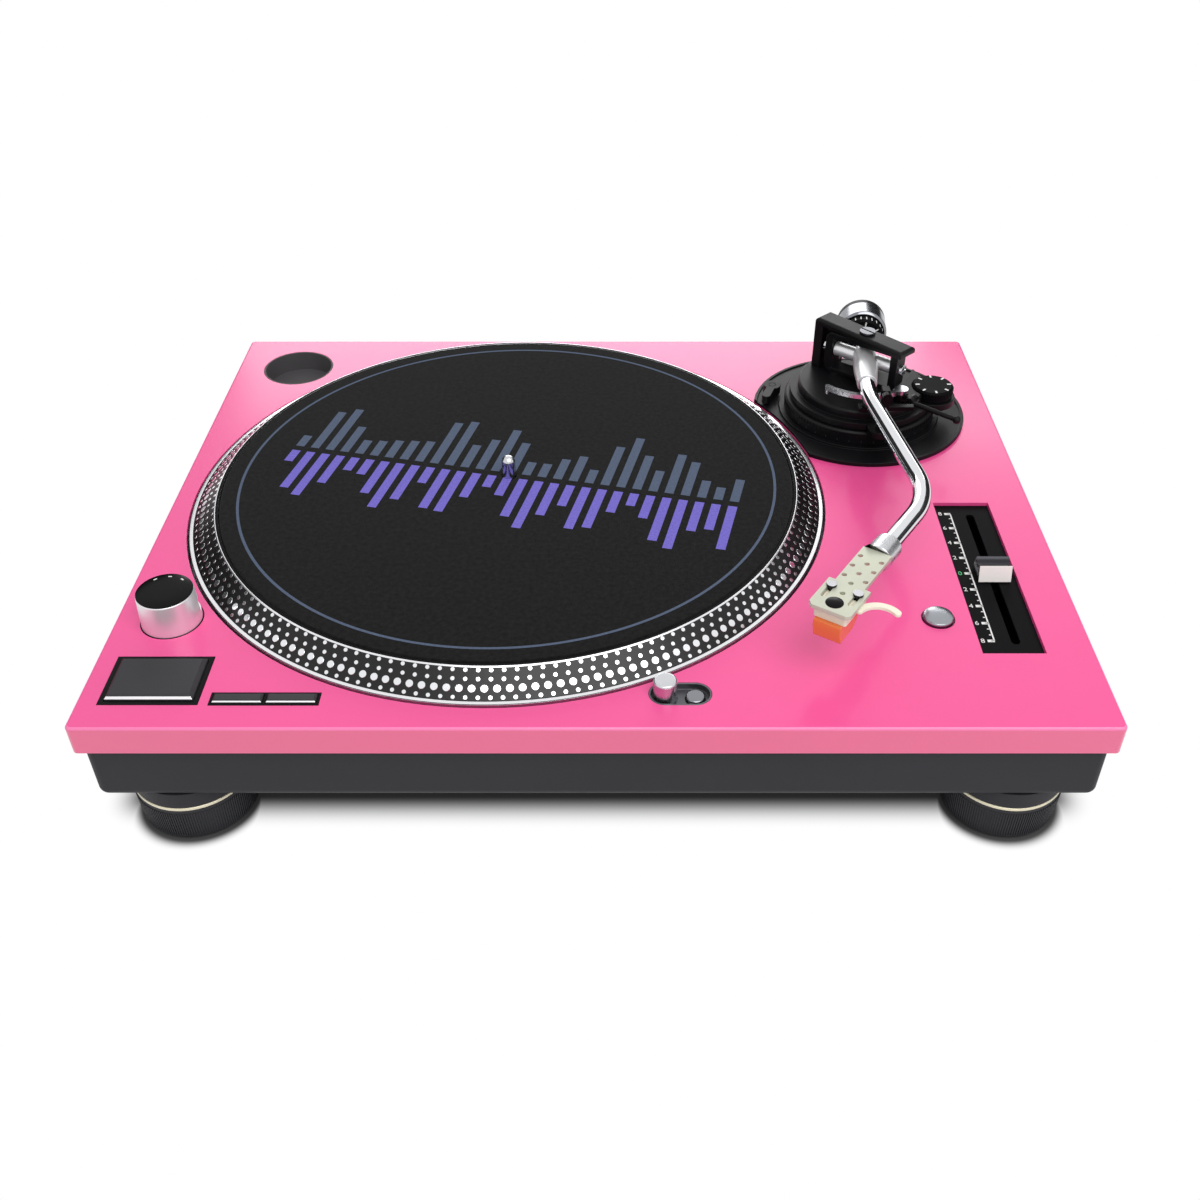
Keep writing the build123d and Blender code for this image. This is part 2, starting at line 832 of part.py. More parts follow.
# Board with the three push switches under the start pad and the speed buttons
plunger_top = base_top + board_thickness + switch_height + plunger_height
with BuildPart() as switch_board:
    with BuildSketch(Plane.XY.offset(base_top)):
        with Locations((start_at[0], start_at[1] - frame_wall / 2)):
            Rectangle(start_width - frame_wall, start_depth + frame_wall)
        with Locations(((start_at[0] + speed_at[0]) / 2, speed_at[1] - speed_frame)):
            Rectangle(speed_at[0] - start_at[0] + button_slot, speed_depth + 2 * speed_frame)
    extrude(amount=board_thickness)
    with BuildSketch(Plane.XY.offset(base_top + board_thickness)):
        with Locations(start_at, *button_at):
            Rectangle(switch_size, switch_size)
    extrude(amount=switch_height)
    with BuildSketch(Plane.XY.offset(base_top + board_thickness + switch_height)):
        with Locations(start_at, *button_at):
            Circle(plunger_radius)
    extrude(amount=plunger_height)
save(switch_board, "switch_board")

# Cup for the large-hole adaptor, hung by its flange between the frame and the deck
with BuildPart() as adaptor_cup:
    with BuildSketch(upright(adaptor_at)):
        with BuildLine():
            cup_radius = adaptor_hole - seat_gap
            cup_floor = deck_top - adaptor_depth
            Polyline(
                (0, cup_floor - adaptor_floor),
                (cup_radius, cup_floor - adaptor_floor),
                (cup_radius, deck_under - adaptor_flange_height),
                (cup_radius + adaptor_flange, deck_under - adaptor_flange_height),
                (cup_radius + adaptor_flange, deck_under),
                (cup_radius, deck_under),
                (cup_radius, deck_top),
                (cup_radius - adaptor_wall, deck_top),
                (cup_radius - adaptor_wall, cup_floor),
                (0, cup_floor),
                close=True,
            )
        make_face()
    revolve(axis=vertical_axis(adaptor_at))
save(adaptor_cup, "adaptor_cup")

# Frames that line the windows of the start pad and the speed buttons
with BuildPart() as start_bezel:
    with BuildSketch(Plane.XY.offset(deck_under)):
        with Locations(start_at):
            Rectangle(start_width - 2 * seat_gap, start_depth - 2 * seat_gap)
            Rectangle(start_width - 2 * start_frame, start_depth - 2 * start_frame, mode=Mode.SUBTRACT)
    extrude(amount=deck_skin)
save(start_bezel, "start_bezel")

with BuildPart() as speed_bezel:
    with BuildSketch(Plane.XY.offset(deck_under)):
        with Locations(speed_at):
            Rectangle(speed_width - 2 * seat_gap, speed_depth - 2 * seat_gap)
        with Locations(*button_at):
            Rectangle(button_slot, speed_depth - 2 * speed_frame, mode=Mode.SUBTRACT)
    extrude(amount=deck_skin)
save(speed_bezel, "speed_bezel")


def push_button(at, width, depth, rise, bevel, travel):
    """A rectangular cap with bevelled edges and a stem that stops just above its switch."""
    stem_end = plunger_top + travel + sliding_gap
    cap_under = stem_end + button_stem
    with BuildPart() as button:
        with BuildSketch(Plane.XY.offset(cap_under)):
            with Locations(at):
                Rectangle(width - 2 * sliding_gap, depth - 2 * sliding_gap)
        extrude(amount=deck_top + rise - cap_under)
        chamfer(button.faces().sort_by(Axis.Z)[-1].edges(), bevel)
        with BuildSketch(Plane.XY.offset(stem_end)):
            with Locations(at):
                Circle(plunger_radius)
        extrude(amount=button_stem)
    return button


start_button = push_button(
    start_at,
    start_width - 2 * start_frame,
    start_depth - 2 * start_frame,
    start_rise,
    start_bevel,
    start_travel,
)
save(start_button, "start_button")
for node, at in zip(("speed_button_33", "speed_button_45"), button_at):
    speed_button = push_button(
        at, button_slot, speed_depth - 2 * speed_frame, speed_rise, speed_bevel, speed_travel
    )
    save(speed_button, node)

# Strobe tower with its lens, and the power knob that turns round it
platter_bearing = degrees(atan2(spindle_at[1] - power_at[1], spindle_at[0] - power_at[0]))
tower_foot = deck_under + tower_flange_height
strobe_axis = across(power_at, platter_bearing, deck_top + strobe_level)
with BuildPart() as strobe_tower:
    with BuildSketch(Plane.XY.offset(deck_under)):
        with Locations(power_at):
            Circle(power_radius + sliding_gap)
    extrude(amount=tower_flange_height)
    with BuildSketch(Plane.XY.offset(tower_foot)):
        with Locations(power_at):
            Circle(tower_radius)
    extrude(amount=tower_height)
    with BuildSketch(strobe_axis.offset(tower_radius - strobe_depth)):
        Rectangle(strobe_width + 2 * seat_gap, strobe_height + 2 * seat_gap)
    extrude(amount=2 * strobe_depth, mode=Mode.SUBTRACT)
save(strobe_tower, "strobe_tower")

with BuildPart() as strobe_lens:
    with BuildSketch(strobe_axis.offset(tower_radius - strobe_depth)):
        Rectangle(strobe_width, strobe_height)
    extrude(amount=strobe_depth - 2 * sliding_gap)
save(strobe_lens, "strobe_lens")

knob_foot = tower_foot + sliding_gap
knob_top = deck_top + power_height
with BuildPart() as power_knob:
    with BuildSketch(upright(power_at)):
        with BuildLine():
            Polyline(
                (tower_radius + running_gap, knob_foot),
                (power_radius, knob_foot),
                (power_top_radius, knob_top - power_edge),
                (power_top_radius - power_edge, knob_top),
                (power_recess, knob_top),
                (power_recess, knob_top - power_recess_depth),
                (0, knob_top - power_recess_depth),
                (0, knob_top - power_roof),
                (tower_radius + running_gap, knob_top - power_roof),
                close=True,
            )
        make_face()
    revolve(axis=vertical_axis(power_at))
    with BuildSketch(strobe_axis):
        Rectangle(2 * strobe_width, strobe_height + 2 * power_window)
    extrude(amount=2 * power_radius, mode=Mode.SUBTRACT)
save(power_knob, "power_knob")

# Oval dish in the deck that holds the pop-up lamp and its release button
with BuildPart() as lamp_bezel:
    with BuildSketch(Plane.XY.offset(deck_top - lamp_dish_depth - lamp_dish_floor)):
        with Locations(dish_at):
            SlotOverall(lamp_dish_length - 2 * seat_gap, lamp_dish_width - 2 * seat_gap)
    extrude(amount=lamp_dish_depth + lamp_dish_floor)
    with BuildSketch(Plane.XY.offset(deck_top - lamp_dish_depth)):
        with Locations(dish_at):
            SlotOverall(lamp_dish_length - 2 * lamp_dish_wall, lamp_dish_width - 2 * lamp_dish_wall)
    extrude(amount=lamp_dish_depth, mode=Mode.SUBTRACT)
    with BuildSketch(Plane.XY.offset(deck_top - lamp_dish_depth - lamp_dish_floor)):
        with Locations(lamp_at):
            Circle(lamp_hole)
        with Locations(release_at):
            Circle(release_hole)
    extrude(amount=lamp_dish_floor, mode=Mode.SUBTRACT)
save(lamp_bezel, "lamp_bezel")

# Pop-up lamp: a tube with a light opening that faces the record
lamp_top = deck_top + lamp_rise
lamp_bearing = degrees(atan2(spindle_at[1] - lamp_at[1], spindle_at[0] - lamp_at[0]))
with BuildPart() as target_lamp:
    with BuildSketch(Plane.XY.offset(lamp_top - lamp_length)):
        with Locations(lamp_at):
            Circle(lamp_radius)
    extrude(amount=lamp_length)
    fillet(target_lamp.faces().sort_by(Axis.Z)[-1].edges(), lamp_edge)
    with BuildSketch(across(lamp_at, lamp_bearing, lamp_top - lamp_eye_drop).offset(lamp_radius)):
        Circle(lamp_eye_radius)
    extrude(amount=-lamp_eye_depth, mode=Mode.SUBTRACT)
save(target_lamp, "target_lamp")

with BuildPart() as lamp_release:
    with BuildSketch(Plane.XY.offset(deck_top - lamp_dish_depth + release_rise - release_length)):
        with Locations(release_at):
            Circle(release_radius)
    extrude(amount=release_length)
    chamfer(lamp_release.faces().sort_by(Axis.Z)[-1].edges(), release_edge)
save(lamp_release, "lamp_release")

with BuildPart() as reset_button:
    with BuildSketch(Plane.XY.offset(deck_top + reset_rise - reset_length)):
        with Locations(reset_at):
            Circle(reset_radius)
    extrude(amount=reset_length)
    fillet(reset_button.faces().sort_by(Axis.Z)[-1].edges(), reset_edge)
save(reset_button, "reset_button")

# Pitch control: sunk panel with the rail under it, sliding carriage and knob
panel_top = deck_top - pitch_recess
panel_under = panel_top - pitch_panel_thickness
rail_floor = panel_under - rail_depth + rail_wall
with BuildPart() as pitch_panel:
    with BuildSketch(Plane.XY.offset(panel_under)):
        with Locations(pitch_at):
            Rectangle(pitch_width - 2 * seat_gap, pitch_length - 2 * seat_gap)
    extrude(amount=pitch_panel_thickness)
    with BuildSketch(Plane.XY.offset(panel_under - rail_depth)):
        with Locations(slot_at):
            Rectangle(rail_width, rail_length)
    extrude(amount=rail_depth)
    with BuildSketch(Plane.XY.offset(rail_floor)):
        with Locations(slot_at):
            Rectangle(rail_width - 2 * rail_wall, rail_length - 2 * rail_wall)
    extrude(amount=rail_depth - rail_wall, mode=Mode.SUBTRACT)
    with BuildSketch(Plane.XY.offset(panel_under)):
        with Locations(slot_at):
            SlotOverall(slot_length, pitch_slot_width, rotation=90)
    extrude(amount=pitch_panel_thickness, mode=Mode.SUBTRACT)
save(pitch_panel, "pitch_panel")

carriage_under = rail_floor + sliding_gap
knob_under = panel_top + 2 * sliding_gap
with BuildPart() as pitch_carriage:
    with BuildSketch(Plane.XY.offset(carriage_under)):
        with Locations(slot_at):
            Rectangle(rail_width - 2 * rail_wall - 2 * sliding_gap, carriage_length)
    extrude(amount=carriage_height)
    with BuildSketch(Plane.XY.offset(carriage_under + carriage_height)):
        with Locations(slot_at):
            Rectangle(pitch_stem_width, pitch_stem_length)
    extrude(amount=knob_under - carriage_under - carriage_height)
save(pitch_carriage, "pitch_carriage")

with BuildPart() as pitch_knob:
    with BuildSketch(along(slot_at, 90, knob_under)):
        with BuildLine():
            half_foot, half_crown = pitch_knob_length / 2, pitch_knob_crown / 2
            sides = Polyline(
                (half_crown, pitch_knob_height),
                (half_foot, 0),
                (-half_foot, 0),
                (-half_crown, pitch_knob_height),
            )
            ThreePointArc(sides @ 1, (0, pitch_knob_height - pitch_knob_dish), sides @ 0)
        make_face()
    extrude(amount=pitch_knob_width / 2, both=True)
save(pitch_knob, "pitch_knob")

# Rubber glands where the mains and signal cables leave the base
with BuildPart() as cable_glands:
    with BuildSketch(upright((0, base_back))):
        with Locations(*[(x, gland_level) for x in gland_at]):
            Circle(gland_radius)
    extrude(amount=gland_length)
    with BuildSketch(upright((0, base_back))):
        with Locations(*[(x, gland_level) for x in gland_at]):
            Circle(gland_flange)
    extrude(amount=-gland_flange_length)
    with BuildSketch(upright((0, base_back + gland_flange_length))):
        with Locations(*[(x, gland_level) for x in gland_at]):
            Circle(gland_bore)
    extrude(amount=gland_length + gland_flange_length, mode=Mode.SUBTRACT)
save(cable_glands, "cable_glands")

# Tonearm base: plate cut away for the platter well, boss for the height ring, bored housing
plate_top = deck_top + arm_plate_thickness
boss_top = plate_top + arm_boss_height
housing_under = deck_top - arm_housing_depth
lock_at = polar(pivot_at, lock_distance, lock_angle)
lock_level = plate_top + arm_plate_rim_height + sliding_gap
with BuildPart() as arm_base:
    with BuildSketch(Plane.XY.offset(deck_top)):
        with Locations(pivot_at):
            Circle(arm_plate_radius)
    extrude(amount=arm_plate_thickness + arm_plate_rim_height)
    with BuildSketch(Plane.XY.offset(plate_top)):
        with Locations(pivot_at):
            Circle(arm_plate_radius - arm_plate_rim)
    extrude(amount=arm_plate_rim_height, mode=Mode.SUBTRACT)
    with BuildSketch(Plane.XY.offset(deck_top)):
        with Locations(spindle_at):
            Circle(well_radius)
    extrude(amount=arm_plate_thickness + arm_plate_rim_height, mode=Mode.SUBTRACT)
    with BuildSketch(Plane.XY.offset(housing_under)):
        with Locations(pivot_at):
            Circle(arm_housing_radius)
    extrude(amount=arm_housing_depth)
    with BuildSketch(Plane.XY.offset(plate_top)):
        with Locations(pivot_at):
            Circle(arm_boss_radius)
    extrude(amount=arm_boss_height)
    with BuildSketch(Plane.XY.offset(plate_top)):
        with Locations(lock_at):
            Circle(lock_pin_radius)
    extrude(amount=lock_level - plate_top + lock_height)
    with BuildSketch(Plane.XY.offset(housing_under)):
        with Locations(pivot_at):
            Circle(stem_radius + running_gap)
    extrude(amount=boss_top - housing_under, mode=Mode.SUBTRACT)
save(arm_base, "arm_base")

with BuildPart() as height_lock:
    with BuildSketch(level(lock_at, lock_angle + 90, lock_level)):
        Circle(lock_hub_radius)
        with Locations((lock_reach / 2, 0)):
            Rectangle(lock_reach, lock_width)
        with Locations((lock_reach, 0)):
            Circle(lock_width / 2)
        Circle(lock_pin_radius + running_gap, mode=Mode.SUBTRACT)
    extrude(amount=lock_height)
save(height_lock, "height_lock")

ring_top = boss_top + height_ring_height
with BuildPart() as height_ring:
    with BuildSketch(Plane.XY.offset(boss_top)):
        with Locations(pivot_at):
            Circle(height_ring_radius)
            Circle(stem_radius + sliding_gap, mode=Mode.SUBTRACT)
    extrude(amount=height_ring_height)
    chamfer(height_ring.faces().sort_by(Axis.Z)[-1].outer_wire().edges(), platform_edge)
save(height_ring, "height_ring")

# Arm platform: stem in the base, stepped top cut away behind for the counterweight, and lobes for
# the anti-skate dial and the arm rest
skirt_under = ring_top + sliding_gap
skirt_top = skirt_under + platform_skirt
platform_top = skirt_top + platform_height
stem_under = deck_top - stem_depth
arm_level = deck_top + arm_height
antiskate_at = polar(pivot_at, antiskate_distance, antiskate_angle)
arm_angle = rest_angle + sleeve_angle
relief_angle = arm_angle + 180 - swing_range / 2
rest_at = polar(pivot_at, rest_distance, arm_angle)
rest_wall_at = (rest_at[0] + tube_radius + rest_wall_gap + rest_wall / 2, rest_at[1])
cue_at = polar(pivot_at, cue_distance, cue_angle)
with BuildPart() as arm_platform:
    with BuildSketch(Plane.XY.offset(stem_under)):
        with Locations(pivot_at):
            Circle(stem_radius)
    extrude(amount=skirt_under - stem_under)
    with BuildSketch(Plane.XY.offset(skirt_under)):
        with Locations(pivot_at):
            Circle(platform_skirt_radius)
        with Locations(antiskate_at):
            Circle(antiskate_lobe)
        with Locations(rest_wall_at):
            Circle(rest_lobe)
        with BuildLine():
            Polyline(
                (pivot_at[0] - rest_lobe, pivot_at[1]),
                (rest_wall_at[0] - rest_lobe, rest_wall_at[1]),
                (rest_wall_at[0] + rest_lobe, rest_wall_at[1]),
                (pivot_at[0] + 2 * rest_lobe, pivot_at[1]),
                close=True,
            )
        make_face()
    extrude(amount=platform_skirt)
    with BuildSketch(Plane.XY.offset(skirt_top)):
        with Locations(pivot_at):
            Circle(platform_radius)
    extrude(amount=platform_height)
    chamfer(arm_platform.faces().sort_by(Axis.Z)[-1].edges(), platform_edge)
    with BuildSketch(Plane.XY.offset(skirt_top)):
        with Locations(antiskate_at):
            Circle(antiskate_radius + 2 * sliding_gap)
    extrude(amount=platform_height, mode=Mode.SUBTRACT)
    with BuildSketch(level(pivot_at, relief_angle, skirt_top)):
        with Locations((weight_relief + platform_radius / 2, 0)):
            Rectangle(platform_radius, relief_width)
    extrude(amount=platform_height, mode=Mode.SUBTRACT)
    with BuildSketch(level(pivot_at, relief_angle, skirt_under)):
        with Locations((skirt_relief + platform_skirt_radius / 2, 0)):
            Rectangle(platform_skirt_radius, relief_width)
    extrude(amount=platform_skirt, mode=Mode.SUBTRACT)
    with BuildSketch(Plane.XY.offset(stem_under)):
        with Locations(pivot_at):
            Circle(stem_bore)
    extrude(amount=skirt_under - stem_under, mode=Mode.SUBTRACT)
    with BuildSketch(Plane.XY.offset(platform_top - gimbal_pin_depth)):
        with Locations(pivot_at):
            Circle(gimbal_pin_radius + running_gap)
    extrude(amount=gimbal_pin_depth, mode=Mode.SUBTRACT)
    with BuildSketch(Plane.XY.offset(skirt_under)):
        with Locations(antiskate_at):
            Circle(antiskate_pin + running_gap)
    extrude(amount=platform_skirt, mode=Mode.SUBTRACT)
save(arm_platform, "arm_platform")

# Bridge over the gimbal: pillar on the platform and beam with the upper bearing screw
gimbal_head = arm_level + gimbal_top
gimbal_foot = arm_level - gimbal_bottom
pillar_inner = gimbal_half_width + bridge_gap
pillar_outer = pillar_inner + bridge_pillar
beam_under = gimbal_head + 2 * sliding_gap
beam_top = beam_under + bridge_beam
with BuildPart() as bearing_bridge:
    with BuildSketch(along(pivot_at, bridge_angle, 0)):
        with BuildLine():
            Polyline(
                (pillar_outer, platform_top),
                (pillar_outer, beam_top),
                (-bridge_reach, beam_top),
                (-bridge_reach, beam_under),
                (pillar_inner, beam_under),
                (pillar_inner, platform_top),
                close=True,
            )
        make_face()
    extrude(amount=bridge_width / 2, both=True)
    fillet(bearing_bridge.faces().sort_by(Axis.Z)[-1].edges(), bridge_round)
    with BuildSketch(Plane.XY.offset(beam_under)):
        with Locations(pivot_at):
            Circle(bearing_screw_radius + seat_gap)
    extrude(amount=bridge_beam, mode=Mode.SUBTRACT)
save(bearing_bridge, "bearing_bridge")

with BuildPart() as pivot_screw:
    with BuildSketch(Plane.XY.offset(beam_under)):
        with Locations(pivot_at):
            Circle(bearing_screw_radius)
    extrude(amount=bridge_beam)
    with BuildSketch(Plane.XY.offset(beam_top)):
        with Locations(pivot_at):
            Circle(bearing_head_radius)
    extrude(amount=bearing_head_height)
    with BuildSketch(Plane.XY.offset(beam_under - pivot_point_length)):
        with Locations(pivot_at):
            Circle(pivot_point_radius)
    extrude(amount=pivot_point_length)
    with BuildSketch(level(pivot_at, bridge_angle, beam_top + bearing_head_height / 2)):
        Rectangle(2 * bearing_head_radius, screw_slot)
    extrude(amount=bearing_head_height, mode=Mode.SUBTRACT)
save(pivot_screw, "pivot_screw")

# Gimbal ring that swings on the platform and carries the tilt bearings of the arm
ring_inner = gimbal_half_width - gimbal_side
with BuildPart() as gimbal_ring:
    with BuildSketch(along(pivot_at, tilt_axis_angle, (gimbal_head + gimbal_foot) / 2)):
        RectangleRounded(2 * gimbal_half_width, gimbal_head - gimbal_foot, gimbal_round)
        Rectangle(2 * ring_inner, gimbal_head - gimbal_foot - 2 * gimbal_bar, mode=Mode.SUBTRACT)
    extrude(amount=gimbal_depth / 2, both=True)
    with BuildSketch(Plane.XY.offset(platform_top - gimbal_pin_depth + sliding_gap)):
        with Locations(pivot_at):
            Circle(gimbal_pin_radius)
    extrude(amount=gimbal_foot - platform_top + gimbal_pin_depth - sliding_gap)
    with BuildSketch(Plane.XY.offset(gimbal_head - gimbal_bar)):
        with Locations(pivot_at):
            Circle(pivot_point_radius + running_gap)
    extrude(amount=gimbal_bar, mode=Mode.SUBTRACT)
    with BuildSketch(across(pivot_at, tilt_axis_angle, arm_level)):
        Circle(tilt_screw_radius + seat_gap)
    extrude(amount=gimbal_half_width, both=True, mode=Mode.SUBTRACT)
save(gimbal_ring, "gimbal_ring")

with BuildPart() as tilt_screws:
    for bearing in (tilt_axis_angle, tilt_axis_angle + 180):
        seat = across(pivot_at, bearing, arm_level)
        with BuildSketch(seat.offset(ring_inner)):
            Circle(tilt_screw_radius)
        extrude(amount=gimbal_side)
        with BuildSketch(seat.offset(gimbal_half_width)):
            Circle(tilt_head_radius)
        extrude(amount=tilt_head_height)
        with BuildSketch(seat.offset(ring_inner - pivot_point_length)):
            Circle(pivot_point_radius)
        extrude(amount=pivot_point_length)
        with BuildSketch(seat.offset(gimbal_half_width + tilt_head_height / 2)):
            Rectangle(2 * tilt_head_radius, screw_slot)
        extrude(amount=tilt_head_height, mode=Mode.SUBTRACT)
save(tilt_screws, "tilt_screws")

# Arm pivot: tapered sleeve on a cross-bar, with the threaded shaft of the counterweight behind
arm_axis = Axis((*pivot_at, arm_level), (cos(radians(arm_angle)), sin(radians(arm_angle)), 0))
bar_half = ring_inner - sliding_gap
with BuildPart() as arm_pivot:
    with BuildSketch(along(pivot_at, arm_angle, arm_level)):
        with BuildLine():
            Polyline(
                (-shaft_reach, 0),
                (-shaft_reach, rear_shaft_radius),
                (-sleeve_tail, rear_shaft_radius),
                (-sleeve_tail, sleeve_nose),
                (-sleeve_tail / 2, sleeve_radius),
                (sleeve_length / 2, sleeve_radius),
                (sleeve_length, sleeve_nose),
                (sleeve_length, tube_radius + running_gap),
                (sleeve_length - tube_socket, tube_radius + running_gap),
                (sleeve_length - tube_socket, 0),
                close=True,
            )
        make_face()
    revolve(axis=arm_axis)
    with BuildSketch(across(pivot_at, tilt_axis_angle, arm_level)):
        Circle(cross_bar_radius)
    extrude(amount=bar_half, both=True)
    for bearing in (tilt_axis_angle, tilt_axis_angle + 180):
        with BuildSketch(across(pivot_at, bearing, arm_level).offset(bar_half)):
            Circle(pivot_point_radius + running_gap)
        extrude(amount=-pivot_point_length - sliding_gap, mode=Mode.SUBTRACT)
save(arm_pivot, "arm_pivot")

# S-shaped tube, from the sleeve through two bends to the headshell collar
head_angle = rest_angle - offset_angle
tip_at = polar(pivot_at, effective_length, rest_angle)
shell_at = polar(tip_at, -tip_setback, head_angle)
tube_start = polar(pivot_at, sleeve_length - tube_socket + seat_gap, arm_angle)
bend_one = polar(pivot_at, first_straight, arm_angle)
bend_two = crossing(bend_one, rest_angle + middle_angle, shell_at, head_angle)
tube_end = polar(shell_at, -plug_length, head_angle)
with BuildPart() as arm_tube:
    with BuildLine(Plane.XY.offset(arm_level)) as tube_route:
        FilletPolyline(tube_start, bend_one, bend_two, tube_end, radius=[first_bend, second_bend])
    with BuildSketch(across(tube_start, arm_angle, arm_level)):
        Circle(tube_radius)
        Circle(tube_radius - tube_wall, mode=Mode.SUBTRACT)
    sweep(path=tube_route.wires()[0])
save(arm_tube, "arm_tube")

# Counterweight on its threaded bush, with the force dial in front
rear_angle = arm_angle + 180
rear_axis = Axis((*pivot_at, arm_level), (cos(radians(rear_angle)), sin(radians(rear_angle)), 0))
weight_front = weight_centre - weight_length / 2
weight_back = weight_centre + weight_length / 2
dial_front = weight_front - dial_length
with BuildPart() as weight_bush:
    with BuildSketch(across(pivot_at, rear_angle, arm_level).offset(dial_front)):
        Circle(bush_radius)
        Circle(rear_shaft_radius + running_gap, mode=Mode.SUBTRACT)
    extrude(amount=weight_back - dial_front)
save(weight_bush, "weight_bush")

with BuildPart() as counterweight:
    with BuildSketch(along(pivot_at, rear_angle, arm_level)):
        with BuildLine():
            Polyline(
                (weight_front, bush_radius + running_gap),
                (weight_front, weight_radius - weight_edge),
                (weight_front + weight_edge, weight_radius),
                (weight_back - weight_edge, weight_radius),
                (weight_back, weight_radius - weight_edge),
                (weight_back, bush_radius + running_gap),
                close=True,
            )
        make_face()
    revolve(axis=rear_axis)
save(counterweight, "counterweight")

with BuildPart() as force_dial:
    with BuildSketch(along(pivot_at, rear_angle, arm_level)):
        with BuildLine():
            Polyline(
                (dial_front, bush_radius + running_gap),
                (dial_front, dial_radius - weight_edge),
                (dial_front + weight_edge, dial_radius),
                (weight_front, dial_radius),
                (weight_front, bush_radius + running_gap),
                close=True,
            )
        make_face()
    revolve(axis=rear_axis)
save(force_dial, "force_dial")

# Collar that locks the headshell to the tube
head_axis = Axis((*shell_at, arm_level), (cos(radians(head_angle)), sin(radians(head_angle)), 0))
with BuildPart() as lock_collar:
    with BuildSketch(along(shell_at, head_angle, arm_level)):
        with BuildLine():
            collar_bore = tube_radius + running_gap
            Polyline(
                (-collar_length, collar_bore),
                (-collar_length, collar_radius - collar_chamfer),
                (-collar_length + collar_chamfer, collar_radius),
                (-collar_chamfer, collar_radius),
                (-sliding_gap, collar_radius - collar_chamfer),
                (-sliding_gap, collar_bore),
                close=True,
            )
        make_face()
    revolve(axis=head_axis)
save(lock_collar, "lock_collar")

# Perforated headshell with its plug, finger lift, cartridge and stylus
shell_top = arm_level + shell_rise
shell_under = shell_top - shell_thickness
shell_plane = level(shell_at, head_angle, shell_under)
slot_side = shell_slot_spacing / 2
screw_setback = tip_setback - cartridge_screw_setback
with BuildPart() as headshell:
    with BuildSketch(shell_plane):
        with Locations((shell_neck_length / 2, 0)):
            Rectangle(shell_neck_length, shell_neck_width)
        with Locations(((shell_neck_length + shell_length) / 2, 0)):
            Rectangle(shell_length - shell_neck_length, shell_width)
    extrude(amount=shell_thickness)
    chamfer(headshell.edges().filter_by(Axis.Z).sort_by(head_axis)[-2:], shell_chamfer)
    with BuildSketch(across(shell_at, head_angle, arm_level).offset(-plug_length)):
        Circle(plug_radius)
    extrude(amount=plug_length)
    with BuildSketch(across(shell_at, head_angle, arm_level)):
        Rectangle(2 * plug_radius, 2 * (shell_under - arm_level))
    extrude(amount=shell_rise)
    with BuildSketch(shell_plane):
        for row in range(3):
            with Locations(
                (shell_hole_first + row * shell_hole_pitch, shell_hole_offset),
                (shell_hole_first + row * shell_hole_pitch, -shell_hole_offset),
            ):
                Circle(shell_hole)
        for row in range(4):
            with Locations((shell_hole_first + (row + 0.5) * shell_hole_pitch, 0)):
                Circle(shell_hole)
        with Locations((shell_slot_centre, slot_side), (shell_slot_centre, -slot_side)):
            SlotOverall(shell_slot_length, shell_slot_width)
    extrude(amount=shell_thickness, mode=Mode.SUBTRACT)
save(headshell, "headshell")

with BuildPart() as finger_lift:
    with BuildSketch(level(shell_at, head_angle, shell_under - lift_thickness)):
        with BuildLine():
            lift_root = (shell_length - lift_setback, (shell_width + seat_gap) / 2)
            lift_bend = (lift_root[0] - lift_sweep, shell_width / 2 + lift_reach / 3)
            lift_end = (lift_root[0] - lift_sweep, shell_width / 2 + lift_reach)
            lift_line = ThreePointArc(lift_root, lift_bend, lift_end)
        SlotArc(lift_line, lift_width)
    extrude(amount=lift_thickness)
save(finger_lift, "finger_lift")

body_under = shell_under - cartridge_height
with BuildPart() as cartridge_body:
    with BuildSketch(level(shell_at, head_angle, body_under)):
        with Locations((cartridge_front - cartridge_length / 2, 0)):
            Rectangle(cartridge_length, cartridge_width)
    extrude(amount=cartridge_height)
    fillet(cartridge_body.edges().filter_by(Axis.Z), cartridge_round)
    with BuildSketch(level(shell_at, head_angle, body_under)):
        with Locations((screw_setback, slot_side), (screw_setback, -slot_side)):
            Circle(cartridge_screw_radius + running_gap)
    extrude(amount=cartridge_height, mode=Mode.SUBTRACT)
save(cartridge_body, "cartridge_body")

with BuildPart() as cartridge_screws:
    with BuildSketch(level(shell_at, head_angle, body_under)):
        with Locations((screw_setback, slot_side), (screw_setback, -slot_side)):
            Circle(cartridge_screw_radius)
    extrude(amount=cartridge_height + shell_thickness)
    with BuildSketch(level(shell_at, head_angle, shell_top)):
        with Locations((screw_setback, slot_side), (screw_setback, -slot_side)):
            Circle(cartridge_screw_head)
    extrude(amount=cartridge_screw_head_height)
save(cartridge_screws, "cartridge_screws")

